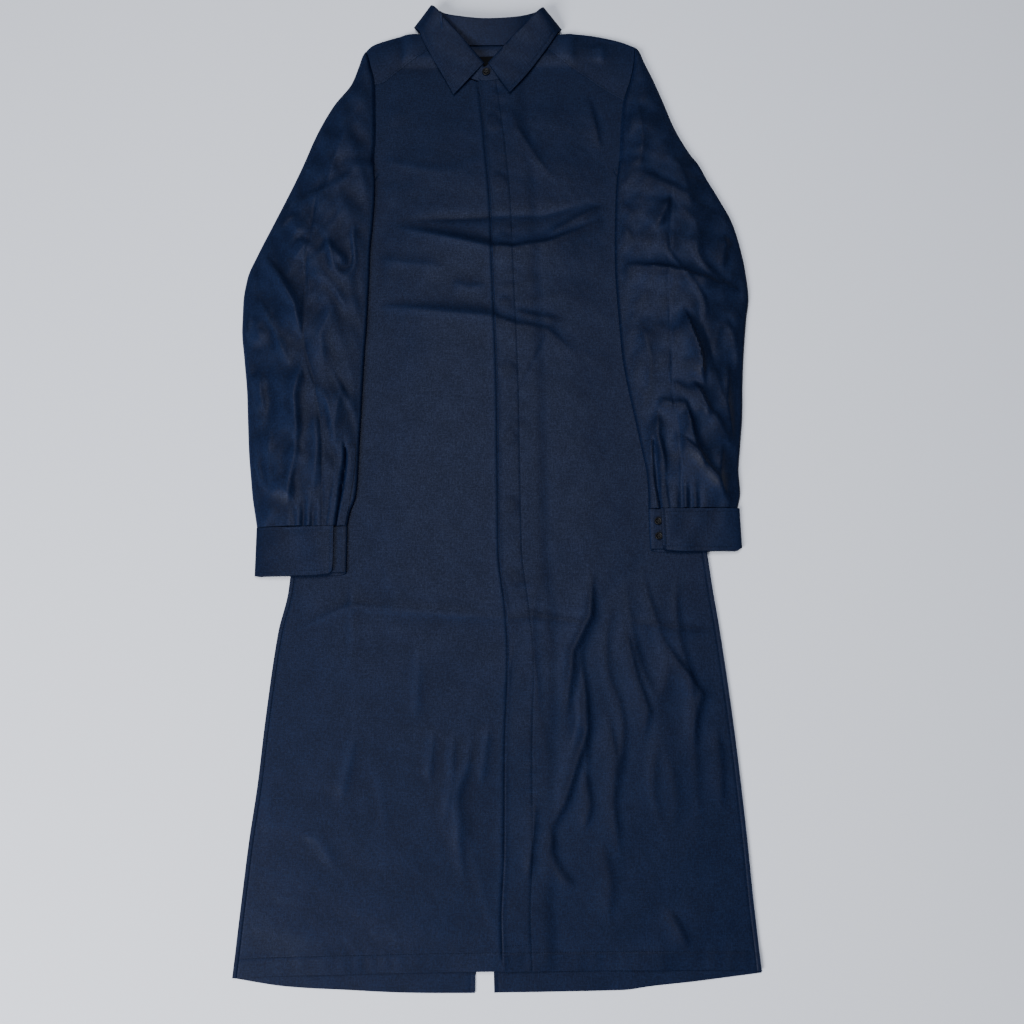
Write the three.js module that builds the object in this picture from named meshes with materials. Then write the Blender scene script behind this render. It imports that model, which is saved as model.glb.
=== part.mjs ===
// Long shirt coat, laid flat on its back with its front up.
// Millimetres. +X is the wearer's left, +Y runs from hem to collar and +Z is up from the surface.
// Every cloth piece is a thin wall about a middle surface, and z in the tables is that surface.

import * as THREE from "three";

// Walls and gaps
const CLOTH = 1.2;
const STIFF_CLOTH = 1.6;
const LABEL_CLOTH = 1.0;
const SEAM_GAP = 0.3;
const ARMHOLE_GAP = 0.7;

// Middle surfaces of the layers where they lie flat
const BACK_Z = CLOTH / 2;
const FRONT_Z = BACK_Z + CLOTH + SEAM_GAP;
const OVERLAP_STEP = CLOTH + SEAM_GAP;
const COVER_STEP = FRONT_Z + CLOTH / 2 + SEAM_GAP;

// Colours
const CLOTH_COLOUR = 0x16171d;
const BUTTON_COLOUR = 0x08080a;
const LABEL_COLOUR = 0x0b0b0d;

// Height of the underarm, where side seam and armhole meet
const UNDERARM_Y = 396;

// Side seam from underarm to hem, mostly under the sleeves above y = -92
const SIDE_SEAM = [
  { y: 396, left: -162, right: 168 },
  { y: 335, left: -238, right: 240 },
  { y: 0, left: -247, right: 250 },
  { y: -173, left: -259, right: 264 },
  { y: -225, left: -270, right: 270 },
  { y: -333, left: -282, right: 280 },
  { y: -404, left: -288, right: 285 },
  { y: -473, left: -296, right: 289 },
  { y: -540, left: -302, right: 292 },
  { y: -620, left: -309, right: 297 },
];

// Armhole seam, from underarm to shoulder tip
const ARMHOLE = [
  { y: 583, left: -176, right: 197 },
  { y: 577, left: -173, right: 196 },
  { y: 560, left: -169, right: 194.5 },
  { y: 533, left: -163, right: 189 },
  { y: 499, left: -162, right: 178.5 },
  { y: 455, left: -161, right: 173.5 },
  { y: 415, left: -162, right: 170 },
  { y: 396, left: -162, right: 168 },
];

// Free edge of the covered placket on the wearer's left front
const PLACKET_EDGE = [
  { y: 540, x: -20 },
  { y: 504, x: -16 },
  { y: 431, x: -10 },
  { y: 347, x: -4 },
  { y: 268, x: -2 },
  { y: 58, x: 3 },
  { y: -121, x: 3 },
  { y: -206, x: 11 },
  { y: -248, x: 13 },
  { y: -370, x: 8 },
  { y: -487, x: 6 },
  { y: -563, x: 2 },
  { y: -620, x: 3 },
];
const OVERLAP_WIDTH = 28;
const OVERLAP_FLAT = 46;
const OVERLAP_EASE = 18;

// Heights of the rows of cloth in the fronts and backs
const PANEL_ROWS = [
  -617, -597, -568, -540, -505, -470, -435, -404, -370, -333, -300, -262, -236, -212, -190, -165,
  -130, -92, -50, 0, 50, 100, 145, 185, 222, 258, 284, 306, 326, 350, 373, 396, 415, 455,
];

// Top edges of the fronts: yoke seam, then neck. The first row is the armhole corner.
const RIGHT_FRONT_TOP = [
  { x: -162.4, y: 533 },
  { x: -151, y: 536 },
  { x: -137, y: 548 },
  { x: -123, y: 560 },
  { x: -110, y: 569.5 },
  { x: -97, y: 579 },
  { x: -81, y: 590 },
  { x: -74, y: 583 },
  { x: -61, y: 564 },
  { x: -45, y: 547 },
  { x: -27, y: 536 },
  { x: -8, y: 532 },
  { x: 9, y: 532 },
];
const LEFT_FRONT_TOP = [
  { x: 178.5, y: 502 },
  { x: 157, y: 516 },
  { x: 145, y: 525 },
  { x: 134, y: 534 },
  { x: 112, y: 552 },
  { x: 90, y: 571 },
  { x: 71, y: 587 },
  { x: 66, y: 583 },
  { x: 57, y: 577 },
  { x: 45, y: 559 },
  { x: 29, y: 545 },
  { x: 11, y: 535 },
  { x: -6, y: 532 },
  { x: -20, y: 533 },
];

// Back: yoke seam, centre seam with its vent, and the curved hem
const BACK_YOKE_Y = 470;
const CENTRE_BACK = { topX: -6, hemX: -20, ventTop: -240, ventGap: 22 };
const BACK_COLUMNS = [0, 0.25, 0.5, 0.75, 1];
const BACK_HEM = [
  { x: -309, y: -621 },
  { x: -244, y: -631 },
  { x: -181, y: -635 },
  { x: -106, y: -639 },
  { x: -32, y: -640 },
  { x: 136, y: -639 },
  { x: 171, y: -635 },
  { x: 215, y: -631 },
  { x: 297, y: -622 },
];
const HEM_ROW = -617;

// Yoke columns: foot of the column on the back seam, shoulder fold or back neck, and front seam
const YOKE_COLUMNS = [
  { backX: -162, topX: -176, topY: 583, seamX: -163, seamY: 533 },
  { backX: -149, topX: -167, topY: 592, seamX: -151, seamY: 536 },
  { backX: -136, topX: -150, topY: 599, seamX: -137, seamY: 548 },
  { backX: -120, topX: -130, topY: 605, seamX: -123, seamY: 560 },
  { backX: -107, topX: -113, topY: 608.5, seamX: -110, seamY: 569.5 },
  { backX: -93, topX: -100, topY: 608, seamX: -97, seamY: 579 },
  { backX: -80, topX: -87, topY: 606, seamX: -81, seamY: 590 },
  { backX: -60, topX: -68, topY: 597 },
  { backX: -40, topX: -41, topY: 590.4 },
  { backX: -5, topX: -3, topY: 589.2 },
  { backX: 33, topX: 35, topY: 590.2 },
  { backX: 55, topX: 58, topY: 596 },
  { backX: 70, topX: 76, topY: 602, seamX: 71, seamY: 587 },
  { backX: 90, topX: 92, topY: 604, seamX: 90, seamY: 571 },
  { backX: 112, topX: 114, topY: 605, seamX: 112, seamY: 552 },
  { backX: 134, topX: 138, topY: 602, seamX: 134, seamY: 534 },
  { backX: 147, topX: 156, topY: 598, seamX: 145, seamY: 525 },
  { backX: 158, topX: 177, topY: 592, seamX: 157, seamY: 516 },
  { backX: 175, topX: 197, topY: 583, seamX: 178.5, seamY: 502 },
];
const YOKE_ROWS = [499, 533, 560, 574, 584];
const YOKE_ROW_MARGINS = [50, 40, 20, 9, 4.5];
const SHOULDER_LOOP = 4;
const SHOULDER_TURN = 1.2;
const SHOULDER_SHARES = [0.33, 0.66, 1];

// The back of the folded collar lies under the yoke and lifts the layers above it
const COLLAR_LIFT = { yoke: 1.9, front: 2.9, centreX: -7, reach: 112, fade: 13 };
const YOKE_LIFT = { from: 574, to: 584 };
const FRONT_LIFT = { from: 556, to: 572 };

// Collar from the wearer's right end, round the back, to the wearer's left end.
// neck is the stand's seam, roll the fold line and edge the outer edge of the fall.
const COLLAR = [
  { neck: [-12, 533.5, 3.0], roll: [-12.5, 558, 9.5], edge: [-54, 512, 6.4], bend: 0.9 },
  { neck: [-27, 537.5, 3.2], roll: [-30, 579, 13], edge: [-67, 538, 7], bend: 0.9 },
  { neck: [-44, 549, 3.8], roll: [-48, 601, 16.5], edge: [-81, 565, 8], bend: 0.9 },
  { neck: [-60, 566, 5.2], roll: [-66, 622, 20], edge: [-94, 591, 9.6], bend: 0.9 },
  { neck: [-79, 594, 8], roll: [-80, 638, 22.5], edge: [-103, 612, 10.4], bend: 0.95 },
  { neck: [-84, 602, 6], roll: [-84.5, 643, 19], edge: [-109, 618, 5.6], bend: 1 },
  { neck: [-80, 602.5, 4.4], roll: [-79, 640, 15], edge: [-103, 613, 2], bend: 2.2 },
  { neck: [-66, 598.2, 4], roll: [-66, 632, 15.5], edge: [-85, 600, 0.9], bend: 2.8 },
  { neck: [-41, 591.8, 3.7], roll: [-48, 626, 18], edge: [-55, 590, 0.9], bend: 3 },
  { neck: [-3, 590.6, 3.7], roll: [-11, 620, 20], edge: [-10, 587, 0.9], bend: 3 },
  { neck: [35, 591.6, 3.7], roll: [36, 622, 20], edge: [40, 588, 0.9], bend: 3 },
  { neck: [56, 597.2, 4], roll: [54, 628, 17], edge: [70, 594, 0.9], bend: 2.8 },
  { neck: [69, 599.5, 4.4], roll: [65, 634, 15], edge: [90, 607, 2], bend: 2.2 },
  { neck: [73, 598.5, 6], roll: [71, 637, 19], edge: [96, 611, 5.6], bend: 1 },
  { neck: [69, 592.5, 8], roll: [66, 631, 22.5], edge: [90, 603, 10.4], bend: 0.95 },
  { neck: [55.5, 578.5, 6], roll: [50, 616, 20.5], edge: [77, 583, 9.6], bend: 0.9 },
  { neck: [43.6, 560.4, 5.4], roll: [31, 597, 17], edge: [60, 559, 8.4], bend: 0.9 },
  { neck: [28, 546.6, 4.8], roll: [13, 578, 13.5], edge: [42, 535, 8.2], bend: 0.9 },
  { neck: [6, 535.6, 4.6], roll: [-6, 558, 9.5], edge: [23, 512.5, 9], bend: 0.9 },
];
const COLLAR_SUBSTEPS = 2;
const FALL_ACROSS = 4;
const STAND_ACROSS = 3;
const ROLL_GAP = STIFF_CLOTH + SEAM_GAP;

// Ends of the stand past the fall, lapped at the centre front
const STAND_UNDER_END = [
  { neck: [12, 539, 2.4], top: [12, 547, 3.1] },
  { neck: [0, 536.5, 2.4], top: [0, 551, 3.5] },
];
const STAND_UPPER_END = [
  { neck: [-9, 534, 4.9], top: [-9, 554.5, 7.5] },
  { neck: [-16, 534.4, 4.9], top: [-16, 552, 7.1] },
  { neck: [-20, 538, 5.3], top: [-20, 546, 6.3] },
];
const UNDER_LAP_TOP = [-12, 552.5, 4.6];

// Sleeve stations: body side fold or armhole edge, outer fold, and height of the arch of cloth.
// slot is true where the section is open to the armhole. The last station is on the right sleeve only.
const SLEEVE_STATIONS = [
  { y: 577, left: -173.6, leftOut: -180.4, right: 196, rightOut: 203, arch: 2.6, slot: true },
  { y: 560, left: -169, leftOut: -185.5, right: 194.5, rightOut: 209, arch: 4, slot: true },
  { y: 533, left: -163, leftOut: -195, right: 189, rightOut: 220, arch: 5, slot: true },
  { y: 499, left: -162, leftOut: -219, right: 178.5, rightOut: 232, arch: 7, slot: true },
  { y: 455, left: -161, leftOut: -241, right: 173.5, rightOut: 247, arch: 8.4, slot: true },
  { y: 415, left: -162, leftOut: -256, right: 170, rightOut: 267, arch: 9, slot: true },
  { y: 402, left: -162.3, leftOut: -261, right: 168.8, rightOut: 276, arch: 9, slot: false },
  { y: 380, left: -160.5, leftOut: -270, right: 165.5, rightOut: 286, arch: 9, slot: false },
  { y: 350, left: -161, leftOut: -283, right: 163, rightOut: 301, arch: 9, slot: false },
  { y: 314, left: -163, leftOut: -299, right: 161, rightOut: 317, arch: 9.8, slot: false },
  { y: 280, left: -165.5, leftOut: -314, right: 159.5, rightOut: 325, arch: 10.4, slot: false },
  { y: 245, left: -166, leftOut: -327, right: 159, rightOut: 330, arch: 10.4, slot: false },
  { y: 211, left: -167, leftOut: -331, right: 160, rightOut: 332, arch: 10.4, slot: false },
  { y: 177, left: -168, leftOut: -331, right: 161.5, rightOut: 327, arch: 10.4, slot: false },
  { y: 130, left: -170.5, leftOut: -326, right: 164, rightOut: 321, arch: 10.4, slot: false },
  { y: 88, left: -172, leftOut: -321, right: 169.5, rightOut: 317, arch: 10.4, slot: false },
  { y: 45, left: -173.5, leftOut: -318, right: 177, rightOut: 314, arch: 9.8, slot: false },
  { y: 5, left: -175, leftOut: -315, right: 184, rightOut: 309, arch: 9, slot: false },
  { y: -30, left: -176, leftOut: -311, right: 189.5, rightOut: 305, arch: 8.4, slot: false },
  { y: -54, left: -178, leftOut: -308, right: 190.5, rightOut: 305.5, arch: 7, slot: false },
  { y: -76, left: -185, leftOut: -304, right: 190, rightOut: 301, arch: 5.6, slot: false },
  { y: -92.5, left: -188, leftOut: -301, arch: 5, slot: false },
];
const LEFT_SLEEVE_STATIONS = 21;
const SLEEVE_TOP_SHARES = [0.11, 0.175, 0.26, 0.36, 0.46, 0.56, 0.66, 0.76, 0.86, 0.94];
const SLEEVE_BASE_SHARES = [0.85, 0.7, 0.55, 0.4, 0.25, 0.12];
const FOLD_TURN = 1.6;
const NARROW_WIDTH = 12;
const NARROW_TURN = 0.35;
const FOLD_OPENING = 3.2;
const COVER_PLATEAU = 25;
const COVER_RAMP = 25;
const COVER_TOP = { from: 415, to: 402 };

// Cuffs: y at the sleeve seam and at the free edge, fold and lap places across
const CUFFS = [
  { name: "right", side: -1, top: -93, bottom: -155, inner: 188, outer: 301, lap: 204 },
  { name: "left", side: 1, top: -76.5, bottom: -131, inner: 190, outer: 303, lap: 204.5 },
];
const CUFF_UNDERLAP = 24;
const CUFF_ROWS = 3;
const CUFF_UNDERLAP_STEP = STIFF_CLOTH + SEAM_GAP + 0.3;
const CUFF_LAP_STEP = 6.9;
const CUFF_MIDDLE_STEP = 5.4;
const CUFF_OUTER_STEP = 3.4;
const CUFF_UNDERLAP_RISE = 4;
const CUFF_TURN = 1.4;
const CUFF_SHIFT_START = 8;
const CUFF_MIDDLE_SHARE = 0.45;

// Buttons
const NECK_BUTTON = { diameter: 10.6, x: -9.4, y: 546, z: 8.1, tilt: 0.14 };
const CUFF_BUTTON = { diameter: 9.6, rightX: 212.5, leftX: 200.5, spacing: 19 };
const BUTTON_HEIGHT = 2.2;
const BUTTON_DISH = 0.6;
const BUTTON_SIDES = 16;

// Neck label on the inside of the yoke
const LABEL = { left: -23, right: 12, bottom: 553, top: 573.5 };

// Where the fronts' folds fade out: first value without fold, second with the whole fold
const CLEAR_OF_SLEEVE_X = [142, 120];
const CLEAR_OF_CUFF_Y = [-165, -190];
const CLEAR_OF_COLLAR_Y = [500, 470];
const CLEAR_OF_LAP = [32, 52];

// Largest folds of the fronts: a ridge from one end to the other
const FRONT_FOLDS = [
  { x1: 113, y1: -150, x2: 103, y2: -228, height: 6, width: 15 },
  { x1: 103, y1: -228, x2: 72, y2: -430, height: 5.5, width: 15 },
  { x1: 110, y1: -260, x2: 103, y2: -465, height: 3.5, width: 13 },
  { x1: 150, y1: -210, x2: 176, y2: -320, height: 4, width: 14 },
  { x1: 152, y1: -306, x2: 169, y2: -460, height: 4, width: 14 },
  { x1: 225, y1: -235, x2: 226, y2: -400, height: 4, width: 15 },
  { x1: 60, y1: -440, x2: 90, y2: -545, height: 3.5, width: 14 },
  { x1: 190, y1: -550, x2: 216, y2: -602, height: 3, width: 14 },
  { x1: -94, y1: -210, x2: -97, y2: -390, height: 3.5, width: 16 },
  { x1: -54, y1: -340, x2: -62, y2: -450, height: 3, width: 13 },
  { x1: -18, y1: -345, x2: -46, y2: -490, height: 3, width: 13 },
  { x1: -172, y1: -340, x2: -188, y2: -425, height: 3, width: 15 },
  { x1: -255, y1: -236, x2: -150, y2: -188, height: 3, width: 15 },
  { x1: -150, y1: -188, x2: 0, y2: -209, height: 2.5, width: 15 },
  { x1: 0, y1: -209, x2: 262, y2: -217, height: 3, width: 15 },
  { x1: -135, y1: 324, x2: 66, y2: 328, height: 4, width: 14 },
  { x1: 60, y1: 328, x2: 150, y2: 346, height: 3.5, width: 14 },
  { x1: -130, y1: 316, x2: 0, y2: 282, height: 3, width: 14 },
  { x1: 0, y1: 282, x2: 145, y2: 325, height: 3, width: 14 },
  { x1: -150, y1: 200, x2: 70, y2: 168, height: 2.5, width: 16 },
];

// Largest folds of the sleeves, x measured outwards from the middle of the coat
const SLEEVE_FOLDS = {
  right: [
    { x1: 305, y1: 280, x2: 256, y2: 190, height: 5, width: 14 },
    { x1: 256, y1: 190, x2: 262, y2: 78, height: 4.5, width: 13 },
    { x1: 258, y1: 78, x2: 262, y2: -66, height: 4, width: 13 },
    { x1: 245, y1: 290, x2: 265, y2: 262, height: 3, width: 13 },
    { x1: 220, y1: 290, x2: 195, y2: 258, height: 3, width: 13 },
    { x1: 303, y1: 110, x2: 296, y2: 50, height: 3, width: 13 },
  ],
  left: [
    { x1: 180, y1: 248, x2: 326, y2: 210, height: 4.5, width: 14 },
    { x1: 246, y1: 195, x2: 268, y2: 128, height: 6, width: 13 },
    { x1: 268, y1: 128, x2: 272, y2: 40, height: 5, width: 13 },
    { x1: 243, y1: 66, x2: 262, y2: -26, height: 5, width: 13 },
    { x1: 228, y1: 19, x2: 292, y2: -60, height: 5, width: 13 },
    { x1: 239, y1: 346, x2: 216, y2: 300, height: 3, width: 13 },
  ],
};

// Sleeve opening strips: stations of the sleeve that the strip covers
const STRIP_FIRST_Y = 8;
const STRIP_COLUMNS = [1, 2];

function blend(a, b, share) {
  return a + (b - a) * share;
}

// Share of the way from one value to another, held at 0 and 1.
function ramp(value, from, to) {
  return Math.min(1, Math.max(0, (value - from) / (to - from)));
}

// Straight-line reading of a table whose key column rises or falls.
function read(table, key, at, column) {
  const rising = table[0][key] < table[table.length - 1][key];
  const rows = rising ? table : [...table].reverse();
  if (at <= rows[0][key]) return rows[0][column];
  for (let i = 1; i < rows.length; i += 1) {
    if (at <= rows[i][key]) {
      const share = (at - rows[i - 1][key]) / (rows[i][key] - rows[i - 1][key]);
      return blend(rows[i - 1][column], rows[i][column], share);
    }
  }
  return rows[rows.length - 1][column];
}

// Height of soft ridges at a point. Each one fades out towards both of its ends.
function foldHeight(folds, x, y) {
  let height = 0;
  for (const fold of folds) {
    const dx = fold.x2 - fold.x1;
    const dy = fold.y2 - fold.y1;
    const along = ((x - fold.x1) * dx + (y - fold.y1) * dy) / (dx * dx + dy * dy);
    const nearest = Math.min(1, Math.max(0, along));
    const away = Math.hypot(x - fold.x1 - nearest * dx, y - fold.y1 - nearest * dy);
    const fade = 0.4 + 0.6 * Math.sin(Math.PI * nearest);
    height = Math.max(height, fold.height * fade * Math.exp(-((away / fold.width) ** 2)));
  }
  return height;
}

// A wall about a grid of middle points. joined(i) closes a row round, keep(i, j) leaves cells out.
function wallGeometry(grid, wall, joined = () => false, keep = () => true) {
  const last = grid[0].length - 1;
  const id = (i, j) => i * (last + 1) + (j === last && joined(i) ? 0 : j);
  const normals = grid.flat().map(() => new THREE.Vector3());
  const cells = [];
  for (let i = 0; i + 1 < grid.length; i += 1) {
    for (let j = 0; j < last; j += 1) {
      if (!keep(i, j)) continue;
      const corners = [id(i, j), id(i + 1, j), id(i + 1, j + 1), id(i, j + 1)];
      const acrossOne = new THREE.Vector3().subVectors(grid[i + 1][j + 1], grid[i][j]);
      const acrossTwo = new THREE.Vector3().subVectors(grid[i][j + 1], grid[i + 1][j]);
      const normal = acrossOne.cross(acrossTwo).normalize();
      corners.forEach((corner) => normals[corner].add(normal));
      cells.push(corners);
    }
  }
  const middle = grid.flat();
  const offset = (side) => (point, k) => point.clone().addScaledVector(normals[k], side * wall / 2);
  normals.forEach((normal) => normal.normalize());
  const points = [...middle.map(offset(1)), ...middle.map(offset(-1))];
  return closedGeometry(points, cells, middle.length);
}

// Joins the outer and inner copies of each cell and walls up every open edge.
function closedGeometry(points, cells, innerStart) {
  const triangles = [];
  const edges = new Map();
  const add = (a, b, c) => {
    if (a !== b && b !== c && c !== a) triangles.push(a, b, c);
  };
  for (const cell of cells) {
    const [a, b, c, d] = cell;
    add(a, b, c);
    add(a, c, d);
    add(innerStart + a, innerStart + c, innerStart + b);
    add(innerStart + a, innerStart + d, innerStart + c);
    cell.forEach((from, k) => {
      const to = cell[(k + 1) % cell.length];
      if (from === to) return;
      if (edges.has(`${to}_${from}`)) edges.delete(`${to}_${from}`);
      else edges.set(`${from}_${to}`, [from, to]);
    });
  }
  for (const [from, to] of edges.values()) {
    add(to, from, innerStart + from);
    add(to, innerStart + from, innerStart + to);
  }
  return outwardGeometry(points, triangles);
}

function outwardGeometry(points, triangles) {
  let volume = 0;
  for (let k = 0; k < triangles.length; k += 3) {
    const [a, b, c] = triangles.slice(k, k + 3).map((index) => points[index]);
    volume += a.dot(new THREE.Vector3().crossVectors(b, c));
  }
  if (volume < 0) triangles.reverse();
  const geometry = new THREE.BufferGeometry();
  const places = points.flatMap((point) => point.toArray());
  geometry.setAttribute("position", new THREE.Float32BufferAttribute(places, 3));
  geometry.setIndex(triangles);
  geometry.computeVertexNormals();
  return geometry;
}

function mesh(name, geometry, colour, roughness) {
  const material = new THREE.MeshStandardMaterial({ color: colour, roughness, metalness: 0 });
  const piece = new THREE.Mesh(geometry, material);
  piece.name = name;
  return piece;
}

function cloth(name, geometry) {
  return mesh(name, geometry, CLOTH_COLOUR, 0.85);
}

// How far the folded collar raises a layer at a point.
function collarLift(x, y, full, rows) {
  const reach = COLLAR_LIFT.reach;
  const across = ramp(Math.abs(x - COLLAR_LIFT.centreX), reach + COLLAR_LIFT.fade, reach);
  return full * ramp(y, rows.from, rows.to) * across;
}

// Fronts

// Folds stay out from under the sleeves and the collar, and out of the lapped edges.
function frontLoft(x, y) {
  const clearOfSleeve = Math.max(ramp(Math.abs(x), ...CLEAR_OF_SLEEVE_X), ramp(y, ...CLEAR_OF_CUFF_Y));
  const clearOfCollar = ramp(y, ...CLEAR_OF_COLLAR_Y);
  const lapMiddle = read(PLACKET_EDGE, "y", y, "x") + OVERLAP_WIDTH / 2;
  const clearOfLap = ramp(Math.abs(x - lapMiddle), ...CLEAR_OF_LAP);
  return foldHeight(FRONT_FOLDS, x, y) * clearOfSleeve * clearOfCollar * clearOfLap;
}

function frontZ(x, y) {
  return FRONT_Z + frontLoft(x, y) + collarLift(x, y, COLLAR_LIFT.front, FRONT_LIFT);
}

// A front is a fan of columns from its top edge down to the hem.
function frontGrid(top, side, overlap) {
  const topSide = top[0].x;
  const topInner = top[top.length - 1].x;
  const straightTop = PANEL_ROWS[PANEL_ROWS.length - 1];
  const sideX = (y) => read(y > UNDERARM_Y ? ARMHOLE : SIDE_SEAM, "y", y, side);
  const innerX = (y) => read(PLACKET_EDGE, "y", y, "x") + overlap;
  const place = (x, y) => {
    const fromEdge = x - innerX(y);
    const lap = overlap ? 0 : OVERLAP_STEP * ramp(fromEdge, OVERLAP_FLAT + OVERLAP_EASE, OVERLAP_FLAT);
    return new THREE.Vector3(x, y, frontZ(x, y) + lap);
  };
  const rows = PANEL_ROWS.map((y) => top.map((column) => {
    const share = (column.x - topSide) / (topInner - topSide);
    return place(blend(sideX(y), innerX(y), share), y);
  }));
  for (const share of [0.5, 1]) {
    rows.push(top.map((column, j) => {
      const foot = rows[PANEL_ROWS.length - 1][j];
      const y = blend(straightTop, column.y - SEAM_GAP, share);
      const x = j === 0 ? sideX(y) : blend(foot.x, column.x, share);
      return place(x, y);
    }));
  }
  return rows;
}

function makeFronts() {
  const right = frontGrid(RIGHT_FRONT_TOP, "left", OVERLAP_WIDTH);
  const left = frontGrid(LEFT_FRONT_TOP, "right", 0);
  return [
    cloth("front_right", wallGeometry(right, CLOTH)),
    cloth("front_left", wallGeometry(left, CLOTH)),
  ];
}

// Back

// The two halves part at the vent below ventTop.
function centreBackX(y, direction) {
  const seam = blend(CENTRE_BACK.topX, CENTRE_BACK.hemX, ramp(y, BACK_YOKE_Y, HEM_ROW));
  const gap = blend(SEAM_GAP, CENTRE_BACK.ventGap, ramp(y, CENTRE_BACK.ventTop, HEM_ROW));
  return seam + direction * gap / 2;
}

function backGrid(side, direction) {
  const heights = [...PANEL_ROWS, BACK_YOKE_Y - SEAM_GAP];
  return heights.map((y) => BACK_COLUMNS.map((share) => {
    const edge = read(y > UNDERARM_Y ? ARMHOLE : SIDE_SEAM, "y", y, side);
    const x = blend(edge, centreBackX(y, direction), share);
    const height = y === HEM_ROW ? read(BACK_HEM, "x", x, "y") : y;
    return new THREE.Vector3(x, height, BACK_Z);
  }));
}

function makeBack() {
  return [
    cloth("back_right", wallGeometry(backGrid("left", -1), CLOTH)),
    cloth("back_left", wallGeometry(backGrid("right", 1), CLOTH)),
  ];
}

// Yoke: flat across the back, over the shoulder folds, down to the front seams.
function yokeColumn(column, k) {
  const outer = k === 0 ? "left" : k === YOKE_COLUMNS.length - 1 ? "right" : null;
  const onShoulder = column.seamX !== undefined;
  const backX = (y) => {
    if (outer) return read(ARMHOLE, "y", y, outer);
    return blend(column.backX, column.topX, ramp(y, BACK_YOKE_Y, column.topY));
  };
  const backPoint = (y) => {
    const x = backX(y);
    return new THREE.Vector3(x, y, BACK_Z + collarLift(x, y, COLLAR_LIFT.yoke, YOKE_LIFT));
  };
  const points = [backPoint(BACK_YOKE_Y)];
  YOKE_ROWS.forEach((y, row) => {
    points.push(backPoint(Math.min(y, column.topY - YOKE_ROW_MARGINS[row])));
  });
  points.push(backPoint(column.topY - (onShoulder ? SHOULDER_TURN : 0)));
  const base = points[points.length - 1].z;
  points.push(new THREE.Vector3(backX(column.topY), column.topY, base + SHOULDER_LOOP / 2));
  points.push(new THREE.Vector3(backX(column.topY), column.topY - SHOULDER_TURN, base + SHOULDER_LOOP));
  for (const share of SHOULDER_SHARES) {
    const y = blend(column.topY, column.seamY ?? column.topY, share);
    const across = blend(column.topX, column.seamX ?? column.topX, share);
    const x = outer ? read(ARMHOLE, "y", y, outer) : across;
    const seamZ = FRONT_Z + collarLift(x, y, COLLAR_LIFT.front, FRONT_LIFT);
    points.push(new THREE.Vector3(x, y, blend(base + SHOULDER_LOOP, seamZ, share)));
  }
  return points;
}

function makeYoke() {
  const grid = YOKE_COLUMNS.map(yokeColumn);
  const backCells = YOKE_ROWS.length + 1;
  const shoulder = (k) => YOKE_COLUMNS[k].seamX !== undefined;
  const keep = (i, j) => j < backCells || (shoulder(i) && shoulder(i + 1));
  return cloth("yoke", wallGeometry(grid, CLOTH, undefined, keep));
}

// Collar

// The collar's stations with softer steps between them.
function collarStations() {
  const curve = (part) => new THREE.CatmullRomCurve3(
    COLLAR.map((row) => new THREE.Vector3(...row[part])), false, "centripetal");
  const count = (COLLAR.length - 1) * COLLAR_SUBSTEPS;
  const [neck, roll, edge] = ["neck", "roll", "edge"].map(curve);
  const stations = [];
  for (let k = 0; k <= count; k += 1) {
    const share = k / count;
    const row = share * (COLLAR.length - 1);
    const low = Math.min(COLLAR.length - 2, Math.floor(row));
    const bend = blend(COLLAR[low].bend, COLLAR[low + 1].bend, row - low);
    const outer = edge.getPoint(share);
    outer.z = Math.max(outer.z, STIFF_CLOTH / 2);
    stations.push({ neck: neck.getPoint(share), roll: roll.getPoint(share), edge: outer, bend });
  }
  return stations;
}

function fallRow(station) {
  const row = [];
  for (let k = 0; k <= FALL_ACROSS; k += 1) {
    const share = k / FALL_ACROSS;
    const point = station.roll.clone().lerp(station.edge, share);
    point.z = station.edge.z + (station.roll.z - station.edge.z) * (1 - share) ** station.bend;
    row.push(point);
  }
  return row;
}

// The stand stops one wall inside the fold line, on the neck's side of the fall.
function standRow(stations, k) {
  const station = stations[k];
  const before = stations[Math.max(0, k - 1)].roll;
  const after = stations[Math.min(stations.length - 1, k + 1)].roll;
  const intoFall = fallRow(station)[1].sub(station.roll);
  const inward = intoFall.cross(after.clone().sub(before)).normalize();
  if (inward.dot(station.neck.clone().sub(station.roll)) < 0) inward.negate();
  return straightRow(station.neck, station.roll.clone().addScaledVector(inward, ROLL_GAP));
}

function straightRow(from, to) {
  const row = [];
  for (let k = 0; k <= STAND_ACROSS; k += 1) row.push(from.clone().lerp(to, k / STAND_ACROSS));
  return row;
}

function makeCollar() {
  const stations = collarStations();
  const vector = (values) => new THREE.Vector3(...values);
  const endRow = (end) => straightRow(vector(end.neck), vector(end.top));
  const under = straightRow(stations[0].neck, vector(UNDER_LAP_TOP));
  const stand = [
    ...STAND_UNDER_END.map(endRow),
    under,
    ...stations.slice(1).map((station, k) => standRow(stations, k + 1)),
    ...STAND_UPPER_END.map(endRow),
  ];
  return [
    cloth("collar_stand", wallGeometry(stand, STIFF_CLOTH)),
    cloth("collar_fall", wallGeometry(stations.map(fallRow), STIFF_CLOTH)),
  ];
}

// Sleeves

// Height of the support under a sleeve: the body's side where it is covered, else the surface.
function coverHeight(x, y, side) {
  const bodyEdge = Math.abs(read(SIDE_SEAM, "y", y, side));
  const flat = bodyEdge + COVER_PLATEAU;
  const across = ramp(Math.abs(x), flat + COVER_RAMP, flat);
  return COVER_STEP * across * ramp(y, COVER_TOP.from, COVER_TOP.to);
}

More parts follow.
